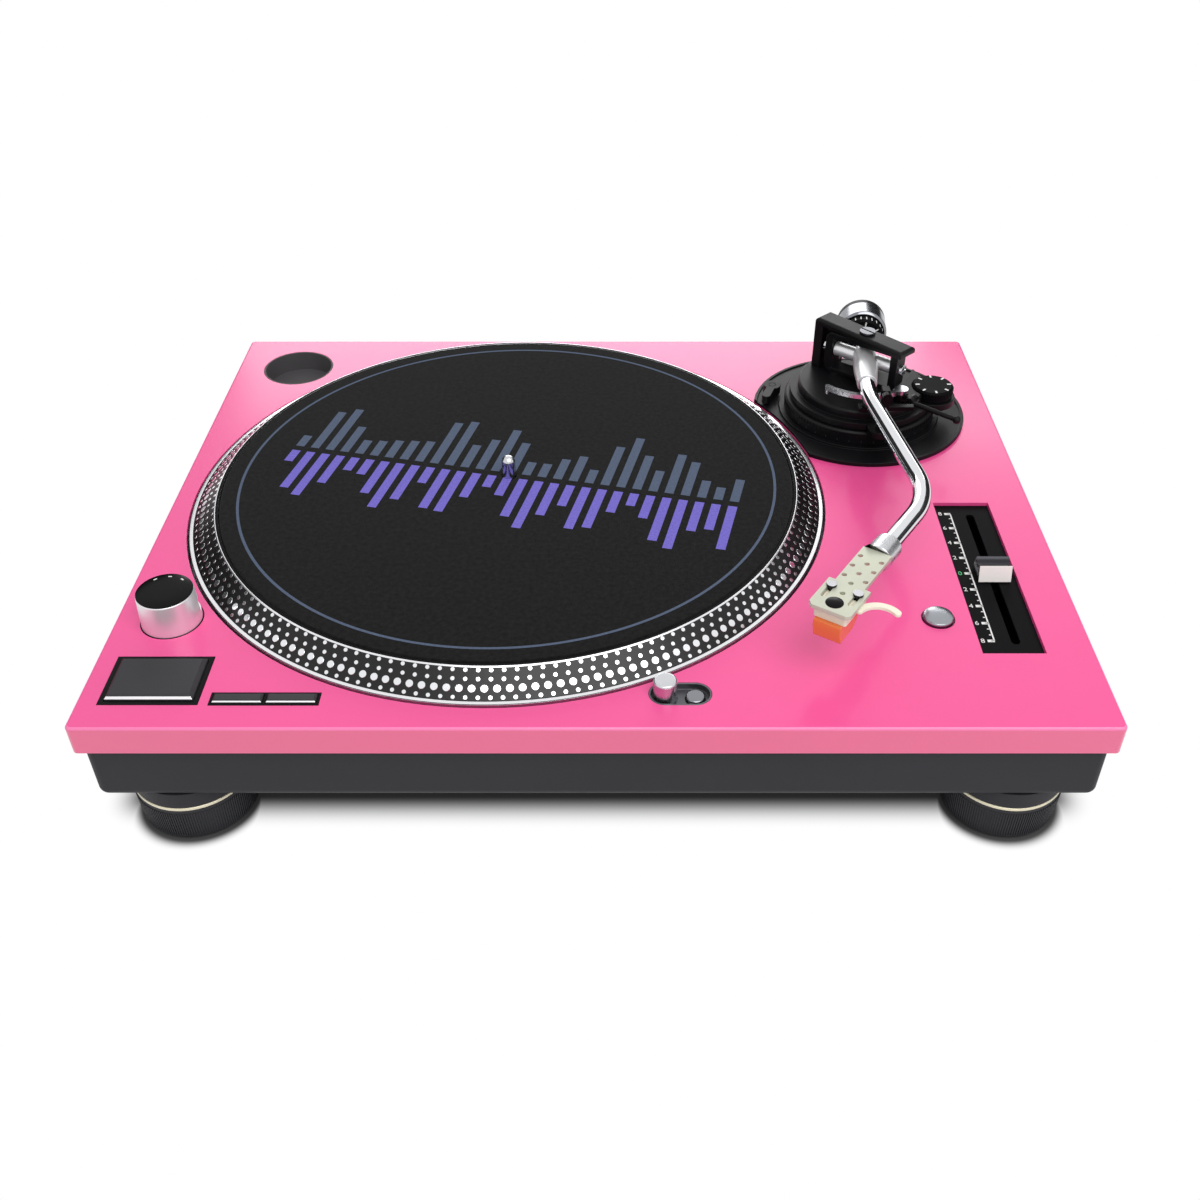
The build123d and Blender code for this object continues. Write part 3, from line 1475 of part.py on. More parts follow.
grip_under = body_under - grip_height
tip_level = deck_top + tip_height
with BuildPart() as stylus:
    with BuildSketch(along(shell_at, head_angle, 0)):
        with BuildLine():
            Polyline(
                (grip_front - grip_length, body_under),
                (grip_front - grip_length, body_under - grip_height / 2),
                (grip_front - 2 * grip_length / 3, grip_under),
                (grip_front - grip_length / 8, grip_under),
                (grip_front, body_under - grip_height / 3),
                (grip_front, body_under),
                close=True,
            )
        make_face()
    extrude(amount=grip_width / 2, both=True)
    chamfer(stylus.faces().sort_by(Axis.Z)[0].edges().filter_by(GeomType.LINE), grip_chamfer)
    with BuildSketch(along(shell_at, head_angle, 0)):
        with BuildLine():
            root = tip_setback - cantilever_length
            Polyline(
                (root, body_under - grip_height / 3),
                (tip_setback - cantilever_radius, tip_level + 2 * cantilever_radius),
                (tip_setback, tip_level),
                (tip_setback + cantilever_radius, tip_level + 2 * cantilever_radius),
                (root + 4 * cantilever_radius, body_under - grip_height / 3),
                close=True,
            )
        make_face()
    extrude(amount=cantilever_radius, both=True)
save(stylus, "stylus")

# Anti-skate dial on its lobe of the platform
with BuildPart() as antiskate_knob:
    with BuildSketch(Plane.XY.offset(skirt_top + sliding_gap)):
        with Locations(antiskate_at):
            Circle(antiskate_radius)
    extrude(amount=antiskate_height)
    chamfer(antiskate_knob.faces().sort_by(Axis.Z)[-1].edges(), platform_edge)
    with BuildSketch(Plane.XY.offset(skirt_under)):
        with Locations(antiskate_at):
            Circle(antiskate_pin)
    extrude(amount=platform_skirt + sliding_gap)
save(antiskate_knob, "antiskate_knob")

# Cueing lift: post on the platform, curved bar under the arm and the lever that raises it
bar_top = arm_level - sleeve_nose - cue_bar_gap
bar_under = bar_top - cue_bar_height
post_top = bar_under - sliding_gap
ear_at = polar(cue_at, cue_ear_reach, cue_lever_angle)
ear_level = platform_top + cue_hub_radius
with BuildPart() as cue_post:
    with BuildSketch(Plane.XY.offset(platform_top)):
        with Locations(cue_at):
            Circle(cue_post_radius)
    extrude(amount=post_top - platform_top)
    with BuildSketch(along(cue_at, cue_lever_angle, platform_top)):
        with Locations((cue_ear_reach / 2, cue_hub_radius)):
            Rectangle(cue_ear_reach, 2 * cue_pin_radius)
        with Locations((cue_ear_reach, cue_hub_radius)):
            Circle(cue_hub_radius)
    extrude(amount=cue_hub_width / 2, both=True)
    with BuildSketch(along(ear_at, cue_lever_angle, ear_level)):
        Circle(cue_pin_radius)
    extrude(amount=cue_hub_width / 2 + sliding_gap + cue_hub_width)
    with BuildSketch(Plane.XY.offset(platform_top)):
        with Locations(cue_at):
            Circle(cue_rod_radius + running_gap)
    extrude(amount=post_top - platform_top, mode=Mode.SUBTRACT)
save(cue_post, "cue_post")

with BuildPart() as cue_lift:
    with BuildSketch(level(pivot_at, cue_angle, bar_under)):
        with BuildLine():
            lift_arc = CenterArc((0, 0), cue_distance, -cue_span, cue_span)
        SlotArc(lift_arc, cue_bar_width)
        with Locations((cue_distance, 0)):
            Circle(cue_post_radius - sliding_gap)
    extrude(amount=cue_bar_height)
    with BuildSketch(Plane.XY.offset(platform_top + seat_gap)):
        with Locations(cue_at):
            Circle(cue_rod_radius)
    extrude(amount=bar_under - platform_top - seat_gap)
    with BuildSketch(level(polar(pivot_at, cue_distance, cue_angle - cue_span), cue_angle, bar_top)):
        Circle(cue_bar_width / 2)
    extrude(amount=-cue_tab)
save(cue_lift, "cue_lift")

rod_at = polar(ear_at, cue_hub_width + sliding_gap, cue_lever_angle - 90)
rod_start = polar(rod_at, (cue_pin_radius + cue_hub_radius) / 2, cue_lever_angle)
lever_end = polar(rod_start, cue_lever_length, cue_lever_angle)
with BuildPart() as cue_lever:
    with BuildSketch(along(ear_at, cue_lever_angle, ear_level).offset(cue_hub_width / 2 + sliding_gap)):
        Circle(cue_hub_radius)
        Circle(cue_pin_radius + running_gap, mode=Mode.SUBTRACT)
    extrude(amount=cue_hub_width)
    with BuildSketch(across(rod_start, cue_lever_angle, ear_level)):
        Circle(cue_lever_radius)
    extrude(amount=cue_lever_length)
    with Locations((*lever_end, ear_level)):
        Sphere(cue_lever_knob)
save(cue_lever, "cue_lever")

# Arm rest with a cradle that is open towards the record, and its swing-over clamp
cradle_top = arm_level - tube_radius - rest_drop
wall_top = arm_level + tube_radius
with BuildPart() as arm_rest:
    with BuildSketch(Plane.XY.offset(skirt_top)):
        with Locations(rest_wall_at):
            Rectangle(rest_wall, rest_length)
    extrude(amount=wall_top - skirt_top)
    with BuildSketch(Plane.XY.offset(cradle_top - rest_floor)):
        with Locations(((rest_at[0] - tube_radius + rest_wall_at[0]) / 2, rest_at[1])):
            Rectangle(rest_wall_at[0] - rest_at[0] + tube_radius, rest_length)
    extrude(amount=rest_floor)
    with BuildSketch(upright((rest_wall_at[0], rest_at[1] - rest_length / 2))):
        with Locations((0, wall_top - clamp_hub_radius)):
            Circle(clamp_pin_radius)
    extrude(amount=clamp_hub_length + 2 * sliding_gap)
save(arm_rest, "arm_rest")

clamp_at = (rest_wall_at[0], rest_at[1] - rest_length / 2 - sliding_gap)
with BuildPart() as arm_clamp:
    with BuildSketch(upright(clamp_at)):
        with Locations((0, wall_top - clamp_hub_radius)):
            Circle(clamp_hub_radius)
            with Locations((clamp_reach / 2, -clamp_hub_radius - clamp_rise + clamp_bar / 2)):
                Rectangle(clamp_reach, clamp_bar)
            with Locations((0, -clamp_hub_radius)):
                Rectangle(2 * clamp_pin_radius, 2 * clamp_rise)
            Circle(clamp_pin_radius + running_gap, mode=Mode.SUBTRACT)
    extrude(amount=clamp_hub_length)
save(arm_clamp, "arm_clamp")
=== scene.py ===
import json
import math

import bmesh
import bpy
from bpy.props import FloatProperty, FloatVectorProperty, IntProperty, PointerProperty
from mathutils import Matrix, Vector


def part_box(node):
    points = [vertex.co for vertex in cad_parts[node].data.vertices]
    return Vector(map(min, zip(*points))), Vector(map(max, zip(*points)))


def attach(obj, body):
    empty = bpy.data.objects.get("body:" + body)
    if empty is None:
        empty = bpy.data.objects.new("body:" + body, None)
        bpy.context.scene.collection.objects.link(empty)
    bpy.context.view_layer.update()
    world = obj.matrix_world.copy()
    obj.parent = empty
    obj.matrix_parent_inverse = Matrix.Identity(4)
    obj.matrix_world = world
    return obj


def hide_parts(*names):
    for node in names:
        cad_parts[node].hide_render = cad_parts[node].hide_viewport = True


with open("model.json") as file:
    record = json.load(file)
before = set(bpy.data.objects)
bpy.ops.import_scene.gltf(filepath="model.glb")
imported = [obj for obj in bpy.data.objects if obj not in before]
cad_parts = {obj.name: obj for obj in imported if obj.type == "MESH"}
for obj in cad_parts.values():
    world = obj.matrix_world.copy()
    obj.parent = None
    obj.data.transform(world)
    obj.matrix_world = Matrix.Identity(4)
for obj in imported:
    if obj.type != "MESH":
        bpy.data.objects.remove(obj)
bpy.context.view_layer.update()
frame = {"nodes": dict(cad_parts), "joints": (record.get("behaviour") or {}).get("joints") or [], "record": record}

bl_info = {
    "name": "Record deck",
    "version": (1, 0, 0),
    "blender": (4, 5, 0),
    "location": "View3D > Sidebar > Record deck",
    "description": "Dresses the solids of a direct-drive record deck with finishes, markings and felt",
    "category": "Object",
}

MM = 0.001
UP = Vector((0, 0, 1))

# Dressing of a solid
MERGE_GAP = 2e-6
CUT_GAP = 1e-6
FLAT_ANGLE = math.radians(0.5)
SOFT_ANGLE = math.radians(32.0)
SOFT_SEGMENTS = 2

# Turned trim: sides of a circle by its size, and the angle that stays a sharp edge
SMALL_SIDES, KNOB_SIDES, FOOT_SIDES, PLATTER_SIDES = 48, 72, 120, 192
TRIM_GAP = 1e-7
TRIM_ANGLE = math.radians(35)

# Repeated studs and screw heads
STUD_SIDES, HEAD_SIDES = 12, 20
HEAD_CROWN = 0.72

# Patterns of the finishes
PATTERN_LOW, PATTERN_HIGH = 0.3, 0.7
LEAST_ROUGH = 0.02
GRAIN_SHARE, LINE_SHARE = 0.4, 0.6
LATHE_LINES = 5200.0
LATHE_CLOUD = 50.0
LATHE_FLATTEN = (1, 1, 0.4)

# Ends of the platter's dotted slope, each a radius and a height
SLOPE_HEAD = (151.5 * MM, 85.2 * MM)
SLOPE_FOOT = (163.6 * MM, 75.6 * MM)

# Set: the floor paper is painted dark, a painted shadow, inside a box round the deck's middle and close to the
# feet
FLOOR_HALF = 6.0
FLOOR_DROP = 0.05 * MM
PAINTED_SHADOW_BOX = (0.216, 0.146, 0)
PAINTED_SHADOW_FADE = 0.021
FOOT_PAINTED_SHADOW_FADE = 0.007
# The near paper colour is a painted shadow; the far one is the plain paper.
PAPER_PAINTED_SHADOW, PAPER_FAR = 0.07, 0.75
PAPER_LIFT = 0.01
SKY_LIGHT = 0.55
PANELS = {
    "softbox": dict(place=(0.4, -0.85, 1.5), aim=(0, 0, 0.08), size=(1.5, 1.2), watts=17.5),
    "back_panel": dict(place=(0.1, 1.6, 0.72), aim=(0, 0.1, 0.08), size=(1.8, 0.5), watts=9.5),
}
FLAGS = {
    "flag_right": dict(place=(1.0, 0.84, 0.32), width=1.5, height=0.85),
    "flag_left": dict(place=(-1.07, 0.75, 0.34), width=1.5, height=0.9),
}

# Camera
CAMERA_PLACE = (0.01195, -0.56415, 0.45517)
CAMERA_TILT = math.radians(51.246)
LENS_LENGTH, SENSOR_WIDTH = 38.2, 36.0
LENS_SHIFT = (-0.0202, 0.0015)
CLIP_NEAR, CLIP_FAR = 0.01, 50.0

joint = {j["name"]: j for j in frame["joints"]}
spindle = Vector(joint["platter_spin"]["pos_m"])
pivot = Vector(joint["arm_swing"]["pos_m"])
bodies = frame["record"]["behaviour"]["bodies"]
body_of = {name: body for body, names in bodies.items() for name in names}


def tone(red, green, blue):
    """Linear colour from the 0 to 255 values of a screen colour."""
    return tuple(
        c / 255 / 12.92 if c <= 10 else ((c / 255 + 0.055) / 1.055) ** 2.4 for c in (red, green, blue)
    )


def colour_prop(name, description, default):
    return FloatVectorProperty(
        name=name, description=description, subtype="COLOR", size=3, min=0.0, max=1.0, default=default
    )


def length_prop(name, description, default):
    return FloatProperty(
        name=name, description=description, default=default, min=0.0, unit="LENGTH", precision=5
    )


class DeckColours(bpy.types.PropertyGroup):
    """Colours of the deck's finishes"""

    face: colour_prop("Face", "Lacquer of the pressed top", tone(241, 82, 151))
    # The skirt is the same lacquer as the top, painted paler as a painted sheen of reflected light.
    skirt: colour_prop("Skirt", "Lacquer of the turned-down sides", tone(242, 100, 146))
    # The edge colour is a painted highlight: a paler pink laid on the rounded rim of the top.
    edge: colour_prop("Edge", "Thin lacquer on the rounded rim of the top", tone(249, 128, 180))
    base: colour_prop("Base", "Rubber of the base and the feet", tone(50, 50, 54))
    felt: colour_prop("Felt", "Felt of the mat", tone(24, 24, 24))
    print_far: colour_prop("Upper print", "Print on the far half of the mat", tone(84, 95, 116))
    print_near: colour_prop("Lower print", "Print on the near half of the mat", tone(116, 105, 194))
    shell: colour_prop("Headshell", "Lacquer of the headshell", tone(196, 198, 180))
    grip: colour_prop("Stylus grip", "Clear plastic of the stylus grip", tone(255, 130, 60))
    cream: colour_prop("Cream", "Cartridge body and finger lift", tone(240, 234, 214))
    mark: colour_prop("Marks", "Printed scale marks", tone(228, 228, 226))


class DeckSizes(bpy.types.PropertyGroup):
    """Sizes of the dressing that a user may change"""

    edge: length_prop("Edge", "Rounding of the metal edges", 0.22 * MM)
    dot_small: length_prop("Small dot", "Radius of the small platter dots", 1.0 * MM)
    dot_large: length_prop("Large dot", "Radius of the large platter dots", 1.75 * MM)
    print_height: length_prop("Print", "Thickness of printed marks", 0.06 * MM)
    ring_radius: length_prop("Mat ring", "Radius of the ring printed on the mat", 140.0 * MM)
    foot_ribs: IntProperty(name="Foot ribs", description="Ribs round each foot", default=150, min=12)
    felt_bars: IntProperty(name="Felt bars", description="Bars in the print on the mat", default=29, min=3)


def node(tree, kind, inputs=None, **settings):
    """Adds a node, sets its own settings, and links or fills the inputs named by label or index."""
    made = tree.nodes.new(kind)
    for key, value in settings.items():
        setattr(made, key, value)
    for key, value in (inputs or {}).items():
        if isinstance(value, bpy.types.NodeSocket):
            tree.links.new(value, made.inputs[key])
        else:
            made.inputs[key].default_value = value
    return made


def maths(tree, operation, a, b=0.0, c=0.0):
    return node(tree, "ShaderNodeMath", {0: a, 1: b, 2: c}, operation=operation).outputs[0]


def vectors(tree, operation, a, b=(0, 0, 0), out="Vector"):
    return node(tree, "ShaderNodeVectorMath", {0: a, 1: b}, operation=operation).outputs[out]


def combined(tree, **parts):
    return node(tree, "ShaderNodeCombineXYZ", parts).outputs["Vector"]


def noise(tree, where, scale, detail):
    return node(tree, "ShaderNodeTexNoise", {"Vector": where, "Scale": scale, "Detail": detail}).outputs["Fac"]


def ranged(tree, value, before, after, **settings):
    """Value taken from one pair of limits to another."""
    limits = {"From Min": before[0], "From Max": before[1], "To Min": after[0], "To Max": after[1]}
    return node(tree, "ShaderNodeMapRange", {"Value": value, **limits}, **settings).outputs["Result"]


def scaled(colour, share):
    return (*(min(1.0, max(0.0, c * share)) for c in colour), 1.0)


def surface(name):
    """New material, its tree, its shader and its Object coordinates."""
    mat = bpy.data.materials.new(name)
    mat.use_nodes = True
    tree = mat.node_tree
    return mat, tree, tree.nodes["Principled BSDF"], node(tree, "ShaderNodeTexCoord").outputs["Object"]


def worn(tree, bsdf, pattern, colour, mottle, rough, spread):
    """Lets the colour, by a share, and the roughness wander with one pattern."""
    ramp = node(tree, "ShaderNodeValToRGB", {"Fac": pattern})
    stops = ((PATTERN_LOW, 1 - mottle), (PATTERN_HIGH, 1 + mottle))
    for stop, (place, share) in zip(ramp.color_ramp.elements, stops):
        stop.position = place
        stop.color = scaled(colour, share)
    tree.links.new(ramp.outputs["Color"], bsdf.inputs["Base Color"])
    limits = (max(LEAST_ROUGH, rough - spread), rough + spread)
    tree.links.new(ranged(tree, pattern, (PATTERN_LOW, PATTERN_HIGH), limits), bsdf.inputs["Roughness"])


def blended(tree, first, second, share):
    """The first pattern by its share and the second by the rest."""
    return maths(tree, "MULTIPLY_ADD", first, share, maths(tree, "MULTIPLY", second, 1 - share))


def raised(tree, bsdf, pattern, strength, depth):
    """Fine relief from a pattern."""
    bump = node(tree, "ShaderNodeBump", {"Height": pattern, "Strength": strength, "Distance": depth * MM})
    tree.links.new(bump.outputs["Normal"], bsdf.inputs["Normal"])


def finish(name, colour, rough, metal=0.0, mottle=0.05, cloud=60.0, spread=0.05, grain=2500.0, relief=0.12,
           depth=0.03, stretch=(1, 1, 1), coat=0.0, coat_rough=0.06, level=0.5, sheen=0.0, clear=0.0):
    """Surface with wandering colour, wandering roughness and a fine grain, all on Object coordinates."""
    mat, tree, bsdf, where = surface(name)
    drawn = node(tree, "ShaderNodeMapping", {"Vector": where, "Scale": stretch}).outputs["Vector"]
    clouds = noise(tree, where, cloud, detail=5.0)
    grains = noise(tree, drawn, grain, detail=2.0)
    worn(tree, bsdf, blended(tree, grains, clouds, GRAIN_SHARE), colour, mottle, rough, spread)
    raised(tree, bsdf, grains, relief, depth)
    values = {
        "Metallic": metal, "Specular IOR Level": level, "Coat Weight": coat, "Coat Roughness": coat_rough,
        "Sheen Weight": sheen, "Transmission Weight": clear,
    }
    for socket, value in values.items():
        bsdf.inputs[socket].default_value = value
    return mat


def turned(name, colour, rough, metal, centre):
    """Metal turned on a lathe about an upright axis: fine rings in its colour, gloss and relief."""
    mat, tree, bsdf, where = surface(name)
    flat = vectors(tree, "MULTIPLY", vectors(tree, "SUBTRACT", where, centre), LATHE_FLATTEN)
    radius = vectors(tree, "LENGTH", flat, out="Value")
    lines = {"W": maths(tree, "MULTIPLY", radius, LATHE_LINES), "Scale": 1.0, "Detail": 3.0}
    rings = node(tree, "ShaderNodeTexNoise", lines, noise_dimensions="1D").outputs["Fac"]
    clouds = noise(tree, where, LATHE_CLOUD, detail=4.0)
    worn(tree, bsdf, blended(tree, rings, clouds, LINE_SHARE), colour, mottle=0.07, rough=rough, spread=0.06)
    raised(tree, bsdf, rings, strength=0.06, depth=0.02)
    bsdf.inputs["Metallic"].default_value = metal
    return mat


finishes = {}


def make_finishes(colours):
    """All finishes of the deck, by name."""
    lacquer = dict(rough=0.36, mottle=0.012, spread=0.02, grain=900.0, relief=0.01)
    top_gloss = dict(coat=0.55, coat_rough=0.15, level=0.25)
    printed = dict(rough=0.9, mottle=0.22, cloud=900.0, relief=0.8, depth=0.2, level=0.1)
    make = {
        "deck_paint": dict(colour=colours.face, **lacquer, **top_gloss),
        # Same lacquer as the face, painted paler on the sides as a painted sheen.
        "skirt_paint_with_painted_sheen": dict(colour=colours.skirt, **lacquer, coat=1.0, coat_rough=0.2, level=0.4),
        # Painted highlight on the rounded rim of the top, in a paler pink.
        "edge_highlight_paint": dict(colour=colours.edge, **lacquer, **top_gloss),
        "cast_frame": dict(colour=tone(150, 152, 156), rough=0.5, metal=0.9, mottle=0.08, relief=0.4,
                           grain=1200.0),
        "base_rubber": dict(colour=colours.base, rough=0.55, mottle=0.1, relief=0.5, grain=2200.0, level=0.2),
        "foot_rubber": dict(colour=scaled(colours.base, 0.95)[:3], rough=0.5, mottle=0.1, relief=0.4, level=0.2),
        "foot_ring": dict(colour=tone(236, 228, 200), rough=0.35, metal=0.2),
        "platter_black": dict(colour=tone(14, 14, 15), rough=0.3, mottle=0.1, level=0.35),
        "dot_mirror": dict(colour=tone(234, 235, 238), rough=0.16, metal=1.0, mottle=0.03, relief=0.02),
        "bright_steel": dict(colour=tone(206, 208, 212), rough=0.2, metal=1.0, stretch=(1, 1, 8)),
        "chrome": dict(colour=tone(226, 227, 230), rough=0.08, metal=1.0, mottle=0.02, spread=0.02, relief=0.0),
        "copper": dict(colour=tone(186, 104, 58), rough=0.35, metal=1.0, mottle=0.15, stretch=(1, 1, 12)),
        "lamination": dict(colour=tone(110, 112, 118), rough=0.4, metal=0.9, mottle=0.1, stretch=(1, 1, 30)),
        "magnet": dict(colour=tone(60, 58, 58), rough=0.5, metal=0.4, mottle=0.15),
        "board": dict(colour=tone(36, 92, 58), rough=0.4, mottle=0.2, cloud=160.0, coat=0.2),
        "black_satin": dict(colour=tone(12, 12, 14), rough=0.5, mottle=0.1, level=0.04),
        "pad_grey": dict(colour=tone(58, 58, 61), rough=0.4, mottle=0.04, metal=0.2, stretch=(1, 14, 1),
                         relief=0.08, level=0.2),
        "black_gloss": dict(colour=tone(9, 9, 10), rough=0.2, mottle=0.1, level=0.09),
        "black_metal": dict(colour=tone(13, 13, 15), rough=0.38, mottle=0.12, relief=0.15, level=0.16),
        "silver_metal": dict(colour=tone(204, 205, 208), rough=0.26, metal=1.0, mottle=0.04, relief=0.06),
        "satin_silver": dict(colour=tone(236, 236, 238), rough=0.36, metal=0.65, mottle=0.03, relief=0.06),
        "weight_silver": dict(colour=tone(138, 139, 144), rough=0.2, metal=1.0, mottle=0.03, relief=0.03),
        "dark_chrome": dict(colour=tone(92, 93, 98), rough=0.22, metal=1.0, mottle=0.03, relief=0.03),
        # Grey of the cup, lightened further as painted light inside its shaded hollow.
        "cup_grey": dict(colour=tone(84, 82, 84), rough=0.5, mottle=0.08, level=0.2),
        "button_grey": dict(colour=tone(158, 161, 166), rough=0.24, metal=1.0, mottle=0.01, spread=0.02,
                            relief=0.01),
        "dish_grey": dict(colour=tone(96, 96, 100), rough=0.32, metal=0.8, mottle=0.06),
        "red_lens": dict(colour=tone(196, 24, 30), rough=0.12, mottle=0.12, coat=0.6),
        # White of the pitch knob's front faces: a painted highlight on the chrome knob.
        "fader_front_painted_highlight": dict(colour=tone(250, 247, 243), rough=0.4, metal=0.15, mottle=0.02),
        "shell_metal": dict(colour=colours.shell, rough=0.34, metal=0.25),
        "cream_metal": dict(colour=colours.cream, rough=0.3, mottle=0.04, coat=0.3),
        "cream_plastic": dict(colour=colours.cream, rough=0.4, mottle=0.03),
        "orange_plastic": dict(colour=colours.grip, rough=0.25, mottle=0.06, coat=0.4, clear=0.12),
        "grey_rubber": dict(colour=tone(46, 46, 48), rough=0.6, mottle=0.1, relief=0.4, level=0.2),
        "mark_white": dict(colour=colours.mark, rough=0.5),
        "mark_green": dict(colour=tone(70, 200, 120), rough=0.5),
        # Dark screw colour; on the pitch knob's up-facing faces it is painted shade.
        "dark_screw_and_painted_shade": dict(colour=tone(52, 52, 56), rough=0.3, metal=0.9, mottle=0.1),
        "print_far": dict(colour=colours.print_far, **printed),
        "print_near": dict(colour=colours.print_near, **printed),
        "felt": dict(colour=colours.felt, rough=0.95, mottle=0.7, cloud=420.0, relief=0.9, depth=0.25,
                     level=0.05, sheen=0.06),
    }
    for name, recipe in make.items():
        finishes[name] = finish(name, **recipe)
    finishes["platter_metal"] = turned("platter_metal", tone(226, 226, 229), 0.16, 0.95, spindle)
    finishes["land_metal"] = turned("land_metal", tone(236, 236, 239), 0.2, 0.9, spindle)


def add_object(name, mesh):
    made = bpy.data.objects.new(name, mesh)
    bpy.context.scene.collection.objects.link(made)
    return made


def settle(name, mesh, body):
    """Links a finished mesh as a piece that rides on a body."""
    made = add_object(name, mesh)
    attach(made, body)
    return made


def mesh_from(shape, name):
    """Plain mesh of a bmesh, which goes away."""
    mesh = bpy.data.meshes.new(name)
    shape.to_mesh(mesh)
    shape.free()
    return mesh


def baked(source):
    """Plain mesh of an object with its modifiers applied; the object goes away."""
    view = bpy.context.evaluated_depsgraph_get()
    mesh = bpy.data.meshes.new_from_object(
        source.evaluated_get(view), preserve_all_data_layers=True, depsgraph=view
    )
    spent = source.data
    source.modifiers.clear()
    bpy.data.objects.remove(source)
    bpy.data.meshes.remove(spent)
    return mesh


def dress(name, coats, edge=None, choose=None, cuts=()):
    """Stands a merged copy of a solid in its place, with softened edges and one or more coats.

    choose takes a face's middle and normal and gives the number of its coat. cuts are planes, each a
    point and a normal, that part faces so that coats can meet there."""
    coats = [coats] if isinstance(coats, str) else coats
    edge = bpy.context.scene.deck_sizes.edge if edge is None else edge
    shape = bmesh.new()
    shape.from_mesh(frame["nodes"][name].data)
    bmesh.ops.remove_doubles(shape, verts=shape.verts, dist=MERGE_GAP)
    bmesh.ops.dissolve_limit(shape, angle_limit=FLAT_ANGLE, verts=shape.verts, edges=shape.edges)
    for point, normal in cuts:
        parts = [*shape.verts, *shape.edges, *shape.faces]
        bmesh.ops.bisect_plane(shape, geom=parts, dist=CUT_GAP, plane_co=point, plane_no=normal)
    for face in shape.faces:
        face.smooth = True
        face.material_index = choose(face.calc_center_median(), face.normal) if choose else 0
    mesh = mesh_from(shape, "dressed_" + name)
    for spare in ("custom_normal", "sharp_face", "sharp_edge"):
        if spare in mesh.attributes:
            mesh.attributes.remove(mesh.attributes[spare])
    for coat in coats:
        mesh.materials.append(finishes[coat])
    held = add_object("holding_" + name, mesh)
    if edge > 0:
        bevel = held.modifiers.new("soft_edges", "BEVEL")
        bevel.limit_method = "ANGLE"
        bevel.angle_limit = SOFT_ANGLE
        bevel.width = edge
        bevel.segments = SOFT_SEGMENTS
        bevel.use_clamp_overlap = False
        weigh = held.modifiers.new("even_normals", "WEIGHTED_NORMAL")
        weigh.keep_sharp = True
    else:
        mesh.set_sharp_from_angle(angle=SOFT_ANGLE)
    piece = settle("dressed_" + name, baked(held), body_of[name])
    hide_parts(name)


def dress_all(names, coat, edge=None):
    for name in names:
        dress(name, coat, edge)


def reach(name, axis):
    """Nearest and farthest point of a solid from the arm's pivot, measured along an axis."""
    spots = [(v.co - pivot).dot(axis) for v in frame["nodes"][name].data.vertices]
    return min(spots), max(spots)


def profile(points, radius=0.0, level=0.0):
    """Outline for the lathe from points in millimetres, counted from a radius and a level."""
    return [(radius + r * MM, level + z * MM) for r, z in points]


def lathe(name, outline, coat, centre, sides):
    """Ring or disc turned from (radius, height) points about an upright axis; radius 0 makes a pole."""
    shape = bmesh.new()
    rings = []
    for radius, height in outline:
        if radius == 0:
            rings.append([shape.verts.new((0, 0, height))])
        else:
            turn = (2 * math.pi * i / sides for i in range(sides))
            rings.append([shape.verts.new((radius * math.cos(a), radius * math.sin(a), height)) for a in turn])
    pairs = list(zip(rings, rings[1:]))
    if outline[0][0] and outline[-1][0]:
        pairs.append((rings[-1], rings[0]))
    for lower, upper in pairs:
        for i in range(sides):
            j = (i + 1) % sides
            corners = [lower[i % len(lower)], lower[j % len(lower)], upper[j % len(upper)], upper[i % len(upper)]]
            shape.faces.new(list(dict.fromkeys(corners)))
    bmesh.ops.remove_doubles(shape, verts=shape.verts, dist=TRIM_GAP)
    bmesh.ops.recalc_face_normals(shape, faces=shape.faces)
    shape.transform(Matrix.Translation(centre))
    mesh = mesh_from(shape, name)
    mesh.materials.append(finishes[coat])
    mesh.shade_smooth()
    mesh.set_sharp_from_angle(angle=TRIM_ANGLE)
    return mesh


def joined(name, meshes):
    """One mesh from several; each keeps its own finish."""
    shape = bmesh.new()
    coats = []
    for mesh in meshes:
        first = len(shape.faces)
        shape.from_mesh(mesh)
        shape.faces.ensure_lookup_table()
        for face in shape.faces[first:]:
            coat = mesh.materials[face.material_index]
            if coat not in coats:
                coats.append(coat)
            face.material_index = coats.index(coat)
    whole = mesh_from(shape, name)
    for coat in coats:
        whole.materials.append(coat)
    for mesh in meshes:
        bpy.data.meshes.remove(mesh)
    return whole


trees = {}


def start_tree(name, **sockets):
    """Geometry node tree with named inputs, a finish and one geometry output."""
    tree = bpy.data.node_groups.new(name, "GeometryNodeTree")
    for label, kind in {**sockets, "Finish": "Material"}.items():
        tree.interface.new_socket(label, in_out="INPUT", socket_type="NodeSocket" + kind)
    tree.interface.new_socket("Geometry", in_out="OUTPUT", socket_type="NodeSocketGeometry")
    trees[name] = tree
    return tree, node(tree, "NodeGroupInput").outputs


def end_tree(tree, given, points, shape, **placing):
    """Puts the shape on every point, makes it real and gives it its finish."""
    spread = node(tree, "GeometryNodeInstanceOnPoints", {"Points": points, "Instance": shape, **placing})
    real = node(tree, "GeometryNodeRealizeInstances", {"Geometry": spread.outputs["Instances"]})
    coated = node(
        tree, "GeometryNodeSetMaterial", {"Geometry": real.outputs["Geometry"], "Material": given["Finish"]}
    )
    node(tree, "NodeGroupOutput", {"Geometry": coated.outputs["Geometry"]})


def points_at(tree, given, place):
    points = node(tree, "GeometryNodePoints", {"Count": given["Count"], "Position": place})
    return points.outputs["Points"]


def index_of(tree):
    return node(tree, "GeometryNodeInputIndex").outputs["Index"]


def box_of(tree, given):
    return node(tree, "GeometryNodeMeshCube", {"Size": given["Size"]}).outputs["Mesh"]


